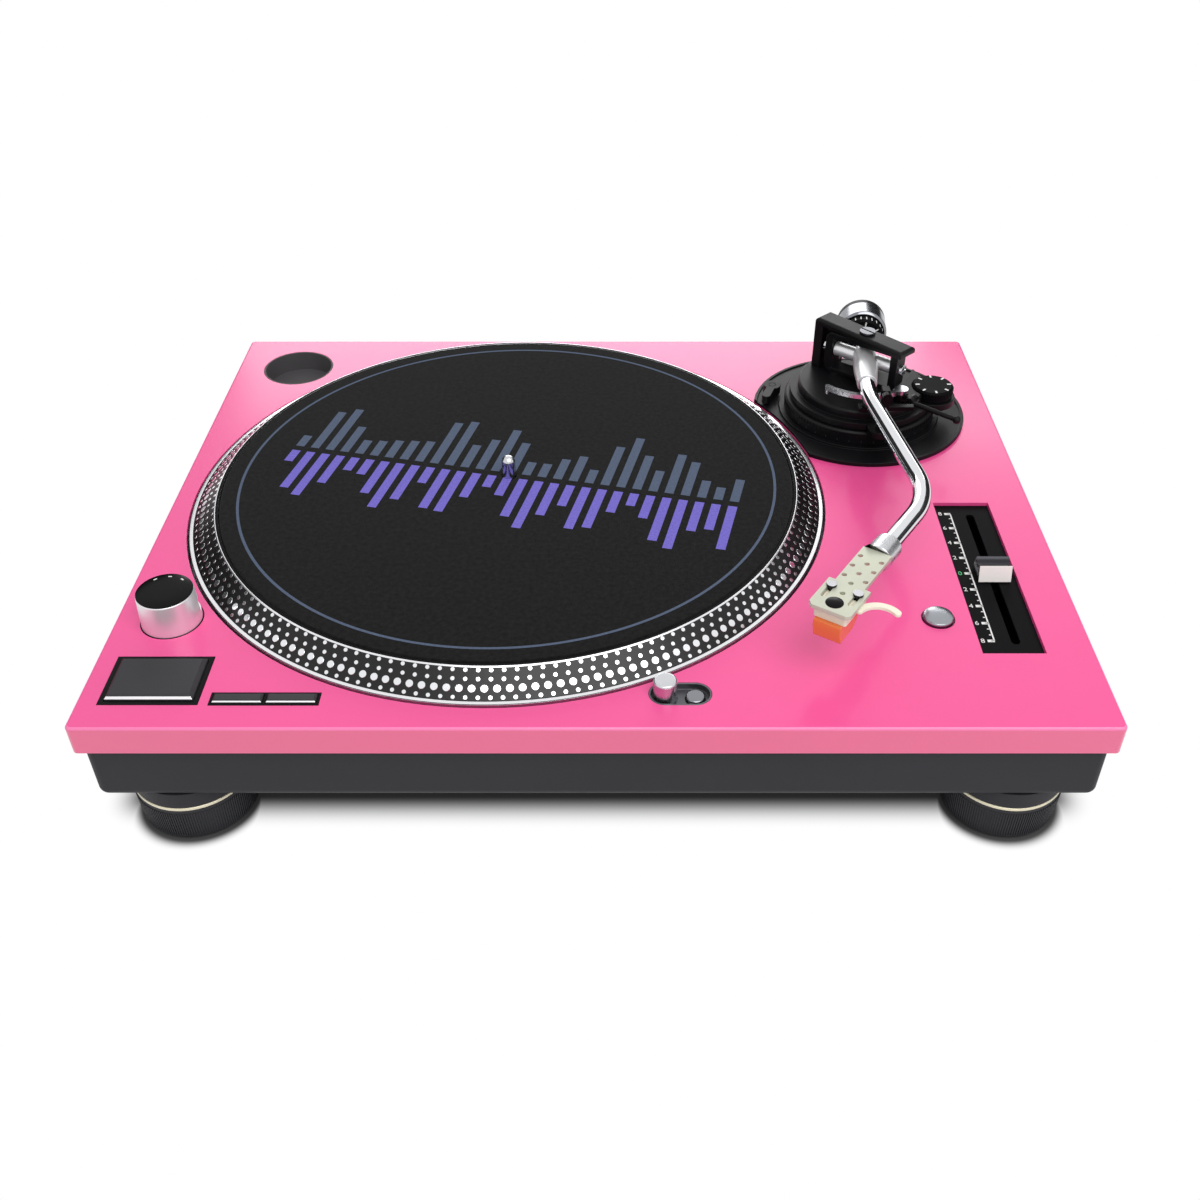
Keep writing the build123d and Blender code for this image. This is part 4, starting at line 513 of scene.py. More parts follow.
def cone_of(tree, sides, bottom, top, height):
    sizes = {"Vertices": sides, "Radius Bottom": bottom, "Radius Top": top, "Depth": height}
    return node(tree, "GeometryNodeMeshCone", sizes).outputs["Mesh"]


def ring_points(tree, given):
    """Points round a circle, and the turn that leads each one outwards."""
    angle = maths(tree, "MULTIPLY_ADD", index_of(tree), given["Step"], given["Start"])
    across = maths(tree, "MULTIPLY", maths(tree, "COSINE", angle), given["Radius"])
    along = maths(tree, "MULTIPLY", maths(tree, "SINE", angle), given["Radius"])
    points = points_at(tree, given, combined(tree, X=across, Y=along))
    lean = combined(tree, Y=given["Tilt"], Z=angle)
    return points, node(tree, "FunctionNodeEulerToRotation", {"Euler": lean}).outputs["Rotation"]


def make_trees():
    """The rules for what repeats: bars round a ring, studs round a ring, bars in a row, heads on a grid."""
    ring = {"Count": "Int", "Radius": "Float", "Start": "Float", "Step": "Float", "Tilt": "Float"}
    tree, given = start_tree("ring_of_bars", **ring, Size="Vector")
    points, turn = ring_points(tree, given)
    end_tree(tree, given, points, box_of(tree, given), Rotation=turn)

    tree, given = start_tree("ring_of_studs", **ring, Foot="Float", Head="Float", Height="Float")
    points, turn = ring_points(tree, given)
    stud = cone_of(tree, STUD_SIDES, given["Foot"], given["Head"], given["Height"])
    end_tree(tree, given, points, stud, Rotation=turn)

    tree, given = start_tree("row_of_bars", Count="Int", Step="Float", Swell="Float", First_beat="Float",
                             Second_beat="Float", Size="Vector", Anchor="Float")
    index = index_of(tree)
    first = maths(tree, "SINE", maths(tree, "MULTIPLY", index, given["First_beat"]))
    second = maths(tree, "COSINE", maths(tree, "MULTIPLY", index, given["Second_beat"]))
    beats = maths(tree, "ABSOLUTE", maths(tree, "MULTIPLY", first, second))
    grown = maths(tree, "MULTIPLY_ADD", beats, given["Swell"], 1.0)
    depth = node(tree, "ShaderNodeSeparateXYZ", {"Vector": given["Size"]}).outputs["Y"]
    shift = maths(tree, "MULTIPLY", maths(tree, "MULTIPLY", grown, depth), given["Anchor"])
    along = maths(tree, "MULTIPLY", index, given["Step"])
    points = points_at(tree, given, combined(tree, X=along, Y=shift))
    end_tree(tree, given, points, box_of(tree, given), Scale=combined(tree, X=1.0, Y=grown, Z=1.0))

    tree, given = start_tree("grid_of_heads", Width="Float", Depth="Float", Across="Int", Along="Int",
                             Radius="Float", Height="Float")
    layout = {"Size X": given["Width"], "Size Y": given["Depth"],
              "Vertices X": given["Across"], "Vertices Y": given["Along"]}
    grid = node(tree, "GeometryNodeMeshGrid", layout).outputs["Mesh"]
    crown = maths(tree, "MULTIPLY", given["Radius"], HEAD_CROWN)
    end_tree(tree, given, grid, cone_of(tree, HEAD_SIDES, given["Radius"], crown, given["Height"]))


def grow(tree_name, place, **values):
    """Plain mesh of one node tree with its named inputs set, moved to its place by a matrix."""
    tree = trees[tree_name]
    held = add_object("growing_" + tree_name, bpy.data.meshes.new("growing"))
    rule = held.modifiers.new("rule", "NODES")
    rule.node_group = tree
    sockets = (item for item in tree.interface.items_tree if item.item_type == "SOCKET")
    named = {s.name: s.identifier for s in sockets if s.in_out == "INPUT"}
    for label, value in values.items():
        rule[named[label]] = finishes[value] if label == "Finish" else value
    mesh = baked(held)
    mesh.transform(place)
    return mesh


def bars_round(place, count, radius, size, coat, start=0.0, step=None, tilt=0.0):
    step = 2 * math.pi / count if step is None else step
    return grow("ring_of_bars", place, Count=count, Radius=radius, Start=start, Step=step, Tilt=tilt,
                Size=size, Finish=coat)


def bars_in_row(place, count, step, size, coat, swell=0.0, beats=(0.0, 0.0), anchor=0.0):
    return grow("row_of_bars", place, Count=count, Step=step, Swell=swell, First_beat=beats[0],
                Second_beat=beats[1], Size=size, Anchor=anchor, Finish=coat)


def frame_at(point, axis=UP):
    """Matrix that carries the origin to a point and its Z to an axis."""
    swing = UP.rotation_difference(axis).to_matrix().to_4x4()
    return Matrix.Translation(Vector(point)) @ swing


def lettered(text, size, thick, coat, place):
    """Mesh of a plain numeral, centred, lying flat before it is placed."""
    line = bpy.data.curves.new("numeral", "FONT")
    line.body = text
    line.size = size
    line.extrude = thick
    line.resolution_u = 2
    line.align_x = "CENTER"
    line.align_y = "CENTER"
    line.materials.append(finishes[coat])
    held = add_object("numeral", line)
    view = bpy.context.evaluated_depsgraph_get()
    mesh = bpy.data.meshes.new_from_object(held.evaluated_get(view), depsgraph=view)
    bpy.data.objects.remove(held)
    bpy.data.curves.remove(line)
    mesh.transform(place)
    return mesh


class DECK_OT_finishes(bpy.types.Operator):
    """Make the finishes and the rules for what repeats"""

    bl_idname = "record_deck.finishes"
    bl_label = "Finishes"

    def execute(self, context):
        make_finishes(context.scene.deck_colours)
        make_trees()
        return {"FINISHED"}


class DECK_OT_cabinet(bpy.types.Operator):
    """Dress the pressed top, the cast frame, the base and what shows through the openings"""

    bl_idname = "record_deck.cabinet"
    bl_label = "Cabinet"

    def execute(self, context):
        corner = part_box("deck_plate")[1]
        rim_width, level_face, edge_face = 1.6 * MM, 0.97, 0.2

        # Coat 2 on the rounded rim is a painted highlight in a paler pink; coat 1 is the skirt with its painted
        # sheen.
        def side(middle, normal):
            inset = min(corner.x - abs(middle.x), corner.y - abs(middle.y))
            if inset > rim_width or normal.z > level_face:
                return 0
            return 2 if normal.z > edge_face else 1

        dress("deck_plate", ["deck_paint", "skirt_paint_with_painted_sheen", "edge_highlight_paint"], 0.12 * MM, side)
        dress("base_tub", "base_rubber", 0.5 * MM)
        dress("chassis", "cast_frame", 0.0)
        # The cup's grey is partly its own colour and partly painted light in its shaded hollow.
        dress("adaptor_cup", "cup_grey")
        dress("cable_glands", "grey_rubber")
        low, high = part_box("base_tub")
        middle = (low + high) / 2
        under = Matrix.Translation((middle.x, middle.y, low.z)) @ Matrix.Rotation(math.pi, 4, "X")
        heads = grow("grid_of_heads", under, Width=400.0 * MM, Depth=170.0 * MM, Across=4, Along=2,
                     Radius=4.2 * MM, Height=2.0 * MM, Finish="dark_screw_and_painted_shade")
        settle("base_screws", heads, "cabinet")
        return {"FINISHED"}


class DECK_OT_feet(bpy.types.Operator):
    """Dress the four feet with their ribs and pale rings"""

    bl_idname = "record_deck.feet"
    bl_label = "Feet"

    def execute(self, context):
        ribs = context.scene.deck_sizes.foot_ribs
        rib_size, rib_level, rib_sink = (0.9 * MM, 0.5 * MM, 15.0 * MM), 10.2 * MM, 0.42 * MM
        rib_lean = math.radians(2.5)
        band = [(-1.0, 19.65), (-0.25, 19.65), (-0.08, 19.8), (-0.08, 21.0), (-0.25, 21.15), (-1.0, 21.15)]
        for corner in ("front_left", "front_right", "rear_left", "rear_right"):
            name = "foot_" + corner
            dress(name, "foot_rubber")
            at = Vector(joint[name + "_turn"]["pos_m"])
            low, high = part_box(name)
            rim = (high.x - low.x) / 2
            rib = bars_round(frame_at((at.x, at.y, rib_level)), ribs, rim - rib_sink, rib_size, "foot_rubber",
                             tilt=rib_lean)
            settle(name + "_ribs", rib, name)
            ring = lathe(name + "_ring", profile(band, rim), "foot_ring", (at.x, at.y, 0.0), FOOT_SIDES)
            settle(name + "_ring", ring, name)
        return {"FINISHED"}


class DECK_OT_platter(bpy.types.Operator):
    """Dress the platter with its rows of bright dots and its bright edges, and the spindle"""

    bl_idname = "record_deck.platter"
    bl_label = "Platter"

    def execute(self, context):
        sizes = context.scene.deck_sizes
        (head_radius, head_level), (foot_radius, foot_level) = SLOPE_HEAD, SLOPE_FOOT
        steep_face, level_face = 0.3, 0.95

        # Coat 2 paints the level faces of the metal platter black, a painted dark reflection on the land; coat 1
        # is the real black dotted slope.
        def coat(middle, normal):
            radius = (middle - spindle).to_2d().length
            if steep_face < normal.z < level_face and head_radius < radius < foot_radius:
                return 1
            return 2 if normal.z > level_face else 0

        dress("platter", ["platter_metal", "platter_black", "black_satin"], 0.18 * MM, coat)
        dress("spindle", "bright_steel", 0.1 * MM)

        lean = math.atan2(head_level - foot_level, foot_radius - head_radius)
        dot_taper, dot_height = 0.94, 0.1 * MM
        rows = ((0.11, 170, sizes.dot_small), (0.37, 174, sizes.dot_small),
                (0.64, 180, sizes.dot_large), (0.90, 186, sizes.dot_small))
        dots = []
        for share, count, size in rows:
            radius = head_radius + (foot_radius - head_radius) * share
            level = head_level + (foot_level - head_level) * share
            dots.append(grow("ring_of_studs", frame_at((spindle.x, spindle.y, level)), Count=count, Radius=radius,
                             Start=0.0, Step=2 * math.pi / count, Tilt=lean, Foot=size, Head=size * dot_taper,
                             Height=dot_height, Finish="dot_mirror"))
        settle("platter_dots", joined("platter_dots", dots), "platter")

        strips = (
            profile([(-0.35, -0.1), (-0.3, 0.03), (0.02, 0.04), (0.5, -0.34), (0.4, -0.5)], *SLOPE_HEAD),
            profile([(0.2, -0.2), (0.3, 0.04), (1.7, 0.04), (2.1, -0.02), (2.1, -0.2)], *SLOPE_FOOT),
        )
        centre = (spindle.x, spindle.y, 0)
        rings = [lathe("platter_edge", strip, "land_metal", centre, PLATTER_SIDES) for strip in strips]
        settle("platter_edge", joined("platter_edge", rings), "platter")
        return {"FINISHED"}


class DECK_OT_mat(bpy.types.Operator):
    """Lay the felt mat with its printed ring and bars"""

    bl_idname = "record_deck.mat"
    bl_label = "Mat"

    def execute(self, context):
        sizes = context.scene.deck_sizes
        under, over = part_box("slipmat")
        rim, low, high = (over.x - under.x) / 2, under.z, over.z
        bore = 3.9 * MM
        centre = (spindle.x, spindle.y, 0)
        outline = [(bore, low), *profile([(-0.5, 0.0), (-0.05, 0.5), (0.0, 1.2)], rim, low)]
        outline += profile([(-0.15, -0.5), (-0.7, -0.08)], rim, high)
        shares = (0.02, 0.12, 0.25, 0.4, 0.55, 0.7, 0.85, 0.95)
        outline += [(rim - share * (rim - bore), high) for share in shares]
        outline += profile([(0.3, -0.03), (0.0, -0.3)], bore, high)
        shape = lathe("mat_felt", outline, "felt", centre, PLATTER_SIDES)
        mat = settle("mat_felt", shape, "slipmat")
        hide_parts("slipmat")

        sink, ring_half = 0.05 * MM, 0.7 * MM
        low, top = high - sink, high + sizes.print_height
        inner, outer = sizes.ring_radius - ring_half, sizes.ring_radius + ring_half
        band = [(inner, low), (outer, low), (outer, top), (inner, top)]
        prints = [lathe("mat_ring", band, "print_far", centre, PLATTER_SIDES)]
        row_length, row_gap, row_turn = 240.0 * MM, 2.2 * MM, math.radians(-13)
        bar_share, bar_depth, bar_swell = 0.56, 11.0 * MM, 3.6
        step = row_length / (sizes.felt_bars - 1)
        bar = (step * bar_share, bar_depth, sizes.print_height + sink)
        across = Matrix.Translation(centre) @ Matrix.Rotation(row_turn, 4, "Z")
        for coat, side, beats in (("print_far", 1.0, (0.83, 0.29)), ("print_near", -1.0, (0.71, 0.36))):
            place = across @ Matrix.Translation((-row_length / 2, side * row_gap, (top + low) / 2))
            prints.append(bars_in_row(place, sizes.felt_bars, step, bar, coat, bar_swell, beats, side / 2))
        print_on = settle("mat_print", joined("mat_print", prints), "slipmat")
        return {"FINISHED"}


class DECK_OT_controls(bpy.types.Operator):
    """Dress the start pad, the speed buttons, the power knob and the strobe lamp"""

    bl_idname = "record_deck.controls"
    bl_label = "Start, speed and power"

    def execute(self, context):
        dress_all(("start_bezel", "speed_bezel"), "black_gloss", 0.15 * MM)
        for name in ("start_button", "speed_button_33", "speed_button_45"):
            self.button(name)
        dress("strobe_tower", "black_gloss", 0.2 * MM)
        dress("strobe_lens", "red_lens", 0.1 * MM)
        dress("power_knob", "satin_silver", 0.3 * MM)
        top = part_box("power_knob")[1].z
        at = Vector(joint["power_turn"]["pos_m"])
        cap = [(0, 0.5), (6, 0.45), (11, 0.3), (12.9, -0.05), (13.0, -0.3), (12.9, -0.5), (0, -0.5)]
        disc = lathe("power_cap", profile(cap, level=top), "black_gloss", (at.x, at.y, 0), KNOB_SIDES)
        settle("power_cap", disc, "power_knob")
        place = frame_at((at.x, at.y, top + 0.36 * MM))
        marks = bars_round(place, 3, 10.2 * MM, (0.7 * MM, 1.7 * MM, 0.12 * MM), "mark_white",
                           start=math.radians(52), step=math.radians(38), tilt=math.radians(3))
        settle("power_marks", marks, "power_knob")
        return {"FINISHED"}

    def button(self, name):
        """Grey pad whose front slope carries a painted highlight, in satin silver, on its lower half."""

        def slopes(normal):
            forward, upward = 0.3, 0.2
            return normal.y < -forward and normal.z > upward

        spots = [f.center.z for f in frame["nodes"][name].data.polygons if slopes(f.normal)]
        level = sum(spots) / len(spots)

        # Painted highlight: the lower half of the front slope gets satin silver.
        def lit_edge(middle, normal):
            return 1 if slopes(normal) and middle.z < level else 0

        dress(name, ["pad_grey", "satin_silver"], 0.15 * MM, lit_edge, cuts=[((0, 0, level), UP)])


class DECK_OT_lamp(bpy.types.Operator):
    """Dress the stylus lamp, its dish and release, and the reset button"""

    bl_idname = "record_deck.lamp"
    bl_label = "Lamp and reset"

    def execute(self, context):
        dress("lamp_bezel", "dish_grey")
        dress("target_lamp", "silver_metal", 0.2 * MM)
        dress("lamp_release", "weight_silver", 0.2 * MM)
        dress("reset_button", "button_grey", 0.2 * MM)
        low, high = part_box("reset_button")
        at, rim = (low + high) / 2, (high.x - low.x) / 2
        crown = [(0, 0.6), (0.3, 0.55), (0.6, 0.36), (0.85, 0.1), (0.95, -0.15), (0, -0.15)]
        outline = [(share * rim, high.z + z * MM) for share, z in crown]
        dome = lathe("reset_dome", outline, "button_grey", (at.x, at.y, 0), SMALL_SIDES)
        settle("reset_dome", dome, "reset_button")
        low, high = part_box("target_lamp")
        at = (low + high) / 2
        place = frame_at((at.x, at.y, high.z - 2.4 * MM))
        grip = bars_round(place, 44, 5.15 * MM, (0.35 * MM, 0.36 * MM, 2.6 * MM), "silver_metal")
        settle("lamp_grip", grip, "target_lamp")
        return {"FINISHED"}


class DECK_OT_pitch(bpy.types.Operator):
    """Dress the pitch fader with its scale"""

    bl_idname = "record_deck.pitch"
    bl_label = "Pitch fader"

    def execute(self, context):
        thick = context.scene.deck_sizes.print_height
        dress("pitch_panel", "black_satin", 0.25 * MM)
        dress("pitch_carriage", "black_gloss", 0.15 * MM)
        knob_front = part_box("pitch_knob")[0].y + 3.0 * MM
        forward, level_face, upward = 0.3, 0.95, 0.5

        # Painted light on one chrome knob: the front faces get white as a painted highlight, the up-facing faces
        # the dark screw colour as painted shade, the rest dark chrome.
        def slopes(middle, normal):
            if normal.y < -forward and abs(normal.z) < level_face and middle.y < knob_front:
                return 1
            return 2 if normal.z > upward else 0

        dress("pitch_knob", ["dark_chrome", "fader_front_painted_highlight", "dark_screw_and_painted_shade"], 0.25 * MM, slopes)

        low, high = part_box("pitch_panel")
        line_x, middle_y = low.x + 7.75 * MM, (low.y + high.y) / 2 + 1.4 * MM
        step, ends = 12.79 * MM, 4
        start = Matrix.Translation((line_x - 1.5 * MM, middle_y, high.z)) @ Matrix.Rotation(math.pi / 2, 4, "Z")
        rows = (
            (-ends * step, 0.0, 2 * ends + 1, step, (1.7 * MM, 3.2 * MM)),
            (-ends * step, -0.5 * MM, 6 * ends + 1, step / 3, (0.6 * MM, 1.0 * MM)),
            (0.0, -1.5 * MM, 1, 0.0, (2 * ends * step, 0.7 * MM)),
        )
        marks = [
            bars_in_row(start @ Matrix.Translation((x, y, 0)), count, gap, (*size, 2 * thick), "mark_white")
            for x, y, count, gap, size in rows
        ]
        for k in range(-ends, ends + 1):
            coat = "mark_white" if k else "mark_green"
            spot = Matrix.Translation((line_x - 5.3 * MM, middle_y + k * step, high.z))
            marks.append(lettered(str(abs(2 * k)), 4.2 * MM, thick, coat, spot))
        settle("pitch_scale", joined("pitch_scale", marks), "cabinet")
        return {"FINISHED"}


class DECK_OT_arm_base(bpy.types.Operator):
    """Dress the arm's base, height ring, platform, anti-skate and cueing gear"""

    bl_idname = "record_deck.arm_base"
    bl_label = "Arm base"

    def execute(self, context):
        castings = ("arm_base", "height_ring", "arm_platform", "bearing_bridge", "height_lock")
        dress_all(castings, "black_metal", 0.25 * MM)
        dress_all(("arm_rest", "arm_clamp", "cue_post"), "black_gloss", 0.15 * MM)
        dress("antiskate_knob", "black_satin")
        dress("cue_lever", "black_metal", 0.15 * MM)
        dress("cue_lift", "silver_metal", 0.0)
        dress("pivot_screw", "dark_chrome", 0.15 * MM)

        low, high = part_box("height_ring")
        rim = (high.x - low.x) / 2
        place = frame_at((pivot.x, pivot.y, high.z - 2.2 * MM))
        grip = bars_round(place, 120, rim, (0.5 * MM, 0.9 * MM, 2.4 * MM), "black_metal")
        place = frame_at((pivot.x, pivot.y, low.z + 2.0 * MM))
        ticks = bars_round(place, 13, rim, (0.12 * MM, 0.3 * MM, 1.2 * MM), "dish_grey",
                           start=math.radians(-150), step=math.radians(9))
        settle("height_ring_grip", joined("height_ring_grip", [grip, ticks]), "height_ring")

        low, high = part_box("antiskate_knob")
        at = Vector(joint["antiskate_turn"]["pos_m"])
        rim = (high.x - low.x) / 2
        place = frame_at((at.x, at.y, high.z))
        marks = bars_round(place, 8, rim - 2.4 * MM, (2.4 * MM, 1.1 * MM, 0.12 * MM), "mark_white")
        place = frame_at((at.x, at.y, high.z - 2.6 * MM))
        grip = bars_round(place, 40, rim, (0.5 * MM, 0.8 * MM, 3.0 * MM), "black_satin")
        settle("antiskate_marks", joined("antiskate_marks", [marks, grip]), "antiskate_knob")
        return {"FINISHED"}


class DECK_OT_arm(bpy.types.Operator):
    """Dress the gimbal, the arm, its locking collar and the counterweight"""

    bl_idname = "record_deck.arm"
    bl_label = "Arm and counterweight"

    def execute(self, context):
        dress("gimbal_ring", "black_metal", 0.3 * MM)
        dress("tilt_screws", "bright_steel", 0.12 * MM)
        dress("arm_pivot", "satin_silver", 0.25 * MM)
        dress("arm_tube", "chrome", 0.1 * MM)
        dress("lock_collar", "silver_metal", 0.15 * MM)
        dress("weight_bush", "chrome", 0.12 * MM)

        rear = Vector(joint["weight_travel"]["axis"]).normalized()
        band_at = reach("counterweight", rear)[1] - 5.0 * MM
        end_face = 0.9

        # Coat 1, black, takes the rear band and the end faces: the band is partly the weight's own black rear rim,
        # widened as a painted dark reflection on the chrome.
        def coat(middle, normal):
            return 1 if (middle - pivot).dot(rear) > band_at or abs(normal.dot(rear)) > end_face else 0

        dress("counterweight", ["weight_silver", "black_metal"], 0.3 * MM, coat, [(pivot + rear * band_at, rear)])
        dress("force_dial", "black_satin", 0.2 * MM)
        dial_front, dial_back = reach("force_dial", rear)
        low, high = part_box("force_dial")
        rim = (high.z - low.z) / 2
        around = frame_at(pivot + rear * (dial_front + dial_back) / 2, rear)
        ahead_of = frame_at(pivot + rear * dial_front, rear)
        marks = [
            bars_round(around, 24, rim, (0.12 * MM, 0.6 * MM, 3.0 * MM), "mark_white"),
            bars_round(ahead_of, 8, rim - 2.9 * MM, (3.0 * MM, 0.8 * MM, 0.12 * MM), "mark_white"),
        ]
        settle("dial_marks", joined("dial_marks", marks), "counterweight")

        ahead = Vector(joint["collar_turn"]["axis"]).normalized()
        low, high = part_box("lock_collar")
        rim = (high.z - low.z) / 2 - 0.05 * MM
        place = frame_at((low + high) / 2, ahead)
        grip = bars_round(place, 36, rim, (0.3 * MM, 0.45 * MM, 4.0 * MM), "silver_metal")
        settle("collar_grip", grip, "lock_collar")
        return {"FINISHED"}


class DECK_OT_headshell(bpy.types.Operator):
    """Dress the headshell, the finger lift, the cartridge and the stylus"""

    bl_idname = "record_deck.headshell"
    bl_label = "Headshell and cartridge"

    def execute(self, context):
        level_face, disc_reach = 0.9, 44.3 * MM

        # Painted highlight: the screw heads' flat tops get silver over the dark screw colour of their sides.
        def tops(middle, normal):
            return 1 if normal.z > level_face else 0

        dress("headshell", "shell_metal", 0.2 * MM)
        dress("finger_lift", "cream_metal", 0.12 * MM)
        dress("cartridge_body", "cream_plastic", 0.25 * MM)
        dress("cartridge_screws", ["dark_screw_and_painted_shade", "silver_metal"], 0.12 * MM, tops)
        dress("stylus", "orange_plastic", 0.25 * MM)
        ahead = Vector(joint["collar_turn"]["axis"]).normalized()
        at = Vector(joint["collar_turn"]["pos_m"]) + ahead * disc_reach
        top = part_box("headshell")[1].z
        disc = profile([(0, 0.25), (3.6, 0.25), (3.95, 0.12), (4.05, -0.1), (0, -0.1)])
        plate = lathe("shell_disc", disc, "black_gloss", (at.x, at.y, top), SMALL_SIDES)
        settle("shell_disc", plate, "tonearm")
        return {"FINISHED"}


class DECK_OT_inside(bpy.types.Operator):
    """Coat the motor, the boards and the transformer inside the base"""

    bl_idname = "record_deck.inside"
    bl_label = "Inside"

    def execute(self, context):
        inner = {
            "main_bearing": "bright_steel", "stator_core": "lamination", "stator_coils": "copper",
            "rotor_magnet": "magnet", "power_transformer": "lamination", "drive_board": "board",
            "switch_board": "board",
        }
        for name, coat in inner.items():
            mesh = frame["nodes"][name].data
            mesh.materials.clear()
            mesh.materials.append(finishes[coat])
        return {"FINISHED"}


class DECK_OT_stage(bpy.types.Operator):
    """Set the white floor with its painted shadow, the soft light and the camera"""

    bl_idname = "record_deck.stage"
    bl_label = "Stage"

    def execute(self, context):
        scene = context.scene
        scene.view_settings.view_transform = "Standard"
        floor = self.flat("floor", 2, FLOOR_HALF, Matrix.Translation((0, 0, -FLOOR_DROP)), self.floor_paper())
        self.sky(scene)
        for name, light in PANELS.items():
            self.panel(name, **light)
        for name, card in FLAGS.items():
            self.flag(name, **card)

        lens = bpy.data.cameras.new("camera")
        lens.lens = LENS_LENGTH
        lens.sensor_width = SENSOR_WIDTH
        lens.shift_x, lens.shift_y = LENS_SHIFT
        lens.clip_start, lens.clip_end = CLIP_NEAR, CLIP_FAR
        camera = add_object("camera", lens)
        camera.location = CAMERA_PLACE
        camera.rotation_euler = (CAMERA_TILT, 0, 0)
        scene.camera = camera
        return {"FINISHED"}

    def flat(self, name, cells, half, place, coat):
        """Flat square of the set, moved to its place by a matrix."""
        shape = bmesh.new()
        bmesh.ops.create_grid(shape, x_segments=cells, y_segments=cells, size=half)
        shape.transform(place)
        mesh = mesh_from(shape, name)
        mesh.materials.append(coat)
        return add_object(name, mesh)

    def panel(self, name, place, aim, size, watts):
        """Soft light from a rectangle that the camera doesn't see."""
        lamp = bpy.data.lights.new(name, "AREA")
        lamp.shape = "RECTANGLE"
        lamp.size, lamp.size_y = size
        lamp.energy = watts
        light = add_object(name, lamp)
        light.location = place
        light.rotation_euler = (Vector(aim) - light.location).to_track_quat("-Z", "Y").to_euler()
        light.visible_camera = False

    def flag(self, name, place, width, height):
        """Upright dark card beside the set, seen only in reflections, that gives polished metal its dark bands."""
        facing = (Vector((0, 0, place[2])) - Vector(place)).to_track_quat("Z", "Y").to_matrix().to_4x4()
        stand = Matrix.Translation(place) @ facing @ Matrix.Diagonal((width, height, 1, 1))
        card = self.flat(name, 1, 0.5, stand, finishes["platter_black"])
        card.visible_camera = False
        card.visible_diffuse = False
        card.visible_shadow = False

    def seen(self, tree):
        """1 for rays that show the ground as a picture: from the camera, a mirror or glass."""
        rays = node(tree, "ShaderNodeLightPath").outputs
        pair = maths(tree, "MAXIMUM", rays["Is Camera Ray"], rays["Is Glossy Ray"])
        return maths(tree, "MAXIMUM", pair, rays["Is Transmission Ray"])

    def floor_paper(self):
        """White paper painted dark near the deck and the feet as a painted shadow, running out to plain white."""
        mat = bpy.data.materials.new("floor_paper")
        mat.use_nodes = True
        tree = mat.node_tree
        tree.nodes.clear()
        where = node(tree, "ShaderNodeTexCoord").outputs["Object"]
        whole = vectors(tree, "ABSOLUTE", where)
        past_box = vectors(tree, "MAXIMUM", vectors(tree, "SUBTRACT", whole, PAINTED_SHADOW_BOX))
        from_box = vectors(tree, "LENGTH", past_box, out="Value")
        foot = joint["foot_rear_right_turn"]["pos_m"]
        low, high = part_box("foot_rear_right")
        from_axis = vectors(tree, "DISTANCE", whole, (foot[0], foot[1], 0), out="Value")
        from_foot = maths(tree, "SUBTRACT", from_axis, (high.x - low.x) / 2)
        fades = [
            ranged(tree, gap, (0.0, fade), (0.0, 1.0), interpolation_type="SMOOTHSTEP")
            for gap, fade in ((from_box, PAINTED_SHADOW_FADE), (from_foot, FOOT_PAINTED_SHADOW_FADE))
        ]
        out = maths(tree, "MINIMUM", *fades)
        shown = self.seen(tree)
        # Painted shadow: the paper's colour falls from the far value to the dark near value close to the deck and
        # the feet.
        shadow_painted_paper = ranged(tree, out, (0.0, 1.0), (PAPER_PAINTED_SHADOW, PAPER_FAR))
        paper = node(tree, "ShaderNodeBsdfDiffuse", {"Color": shadow_painted_paper}).outputs["BSDF"]
        glow = maths(tree, "MULTIPLY", shown, PAPER_LIFT)
        lift = node(tree, "ShaderNodeEmission", {"Strength": glow}).outputs["Emission"]
        near = node(tree, "ShaderNodeAddShader", {0: paper, 1: lift}).outputs["Shader"]
        white = node(tree, "ShaderNodeEmission", {"Strength": 1.0}).outputs["Emission"]
        share = maths(tree, "MULTIPLY", out, shown)
        mixed = node(tree, "ShaderNodeMixShader", {0: share, 1: near, 2: white}).outputs["Shader"]
        node(tree, "ShaderNodeOutputMaterial", {"Surface": mixed})
        return mat

    def sky(self, scene):
        """White to the camera and in mirrors, and a plain even light otherwise."""
        world = bpy.data.worlds.new("sky")
        world.use_nodes = True
        tree = world.node_tree
        tree.nodes.clear()
        level = maths(tree, "MULTIPLY_ADD", self.seen(tree), 1 - SKY_LIGHT, SKY_LIGHT)
        light = node(tree, "ShaderNodeBackground", {"Color": (1, 1, 1, 1), "Strength": level})
        node(tree, "ShaderNodeOutputWorld", {"Surface": light.outputs["Background"]})
        scene.world = world


steps = (
    DECK_OT_finishes, DECK_OT_cabinet, DECK_OT_feet, DECK_OT_platter, DECK_OT_mat, DECK_OT_controls,
    DECK_OT_lamp, DECK_OT_pitch, DECK_OT_arm_base, DECK_OT_arm, DECK_OT_headshell, DECK_OT_inside,
    DECK_OT_stage,
)


class DECK_PT_panel(bpy.types.Panel):
    """Lists the steps of the deck"""

    bl_idname = "DECK_PT_panel"
    bl_label = "Record deck"
    bl_space_type = "VIEW_3D"
    bl_region_type = "UI"
    bl_category = "Record deck"

    def draw(self, context):
        for group in (context.scene.deck_colours, context.scene.deck_sizes):
            box = self.layout.box()
            for name in group.__annotations__:
                box.prop(group, name)
        for step in steps:
            self.layout.operator(step.bl_idname)


classes = (DeckColours, DeckSizes, *steps, DECK_PT_panel)


def register():
    for c in classes:
        bpy.utils.register_class(c)
    bpy.types.Scene.deck_colours = PointerProperty(type=DeckColours)
    bpy.types.Scene.deck_sizes = PointerProperty(type=DeckSizes)


def unregister():
    del bpy.types.Scene.deck_sizes
    del bpy.types.Scene.deck_colours
    for c in reversed(classes):
        bpy.utils.unregister_class(c)


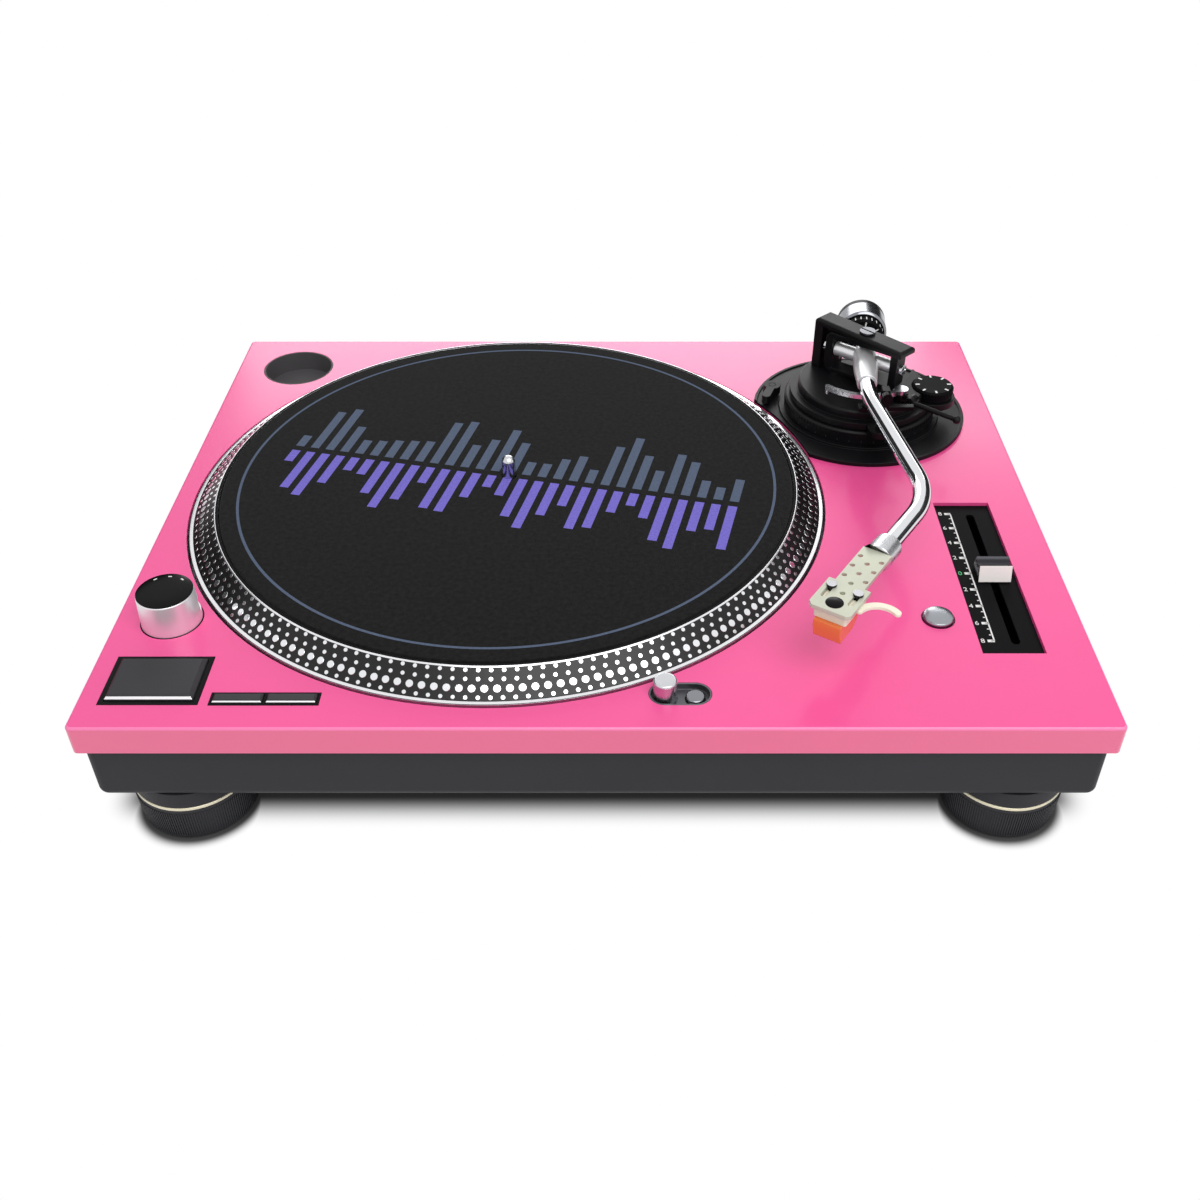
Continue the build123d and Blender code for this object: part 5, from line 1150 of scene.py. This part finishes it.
def main():
    register()
    for step in steps:
        group, name = step.bl_idname.split(".")
        getattr(getattr(bpy.ops, group), name)()


if __name__ == "__main__":
    main()
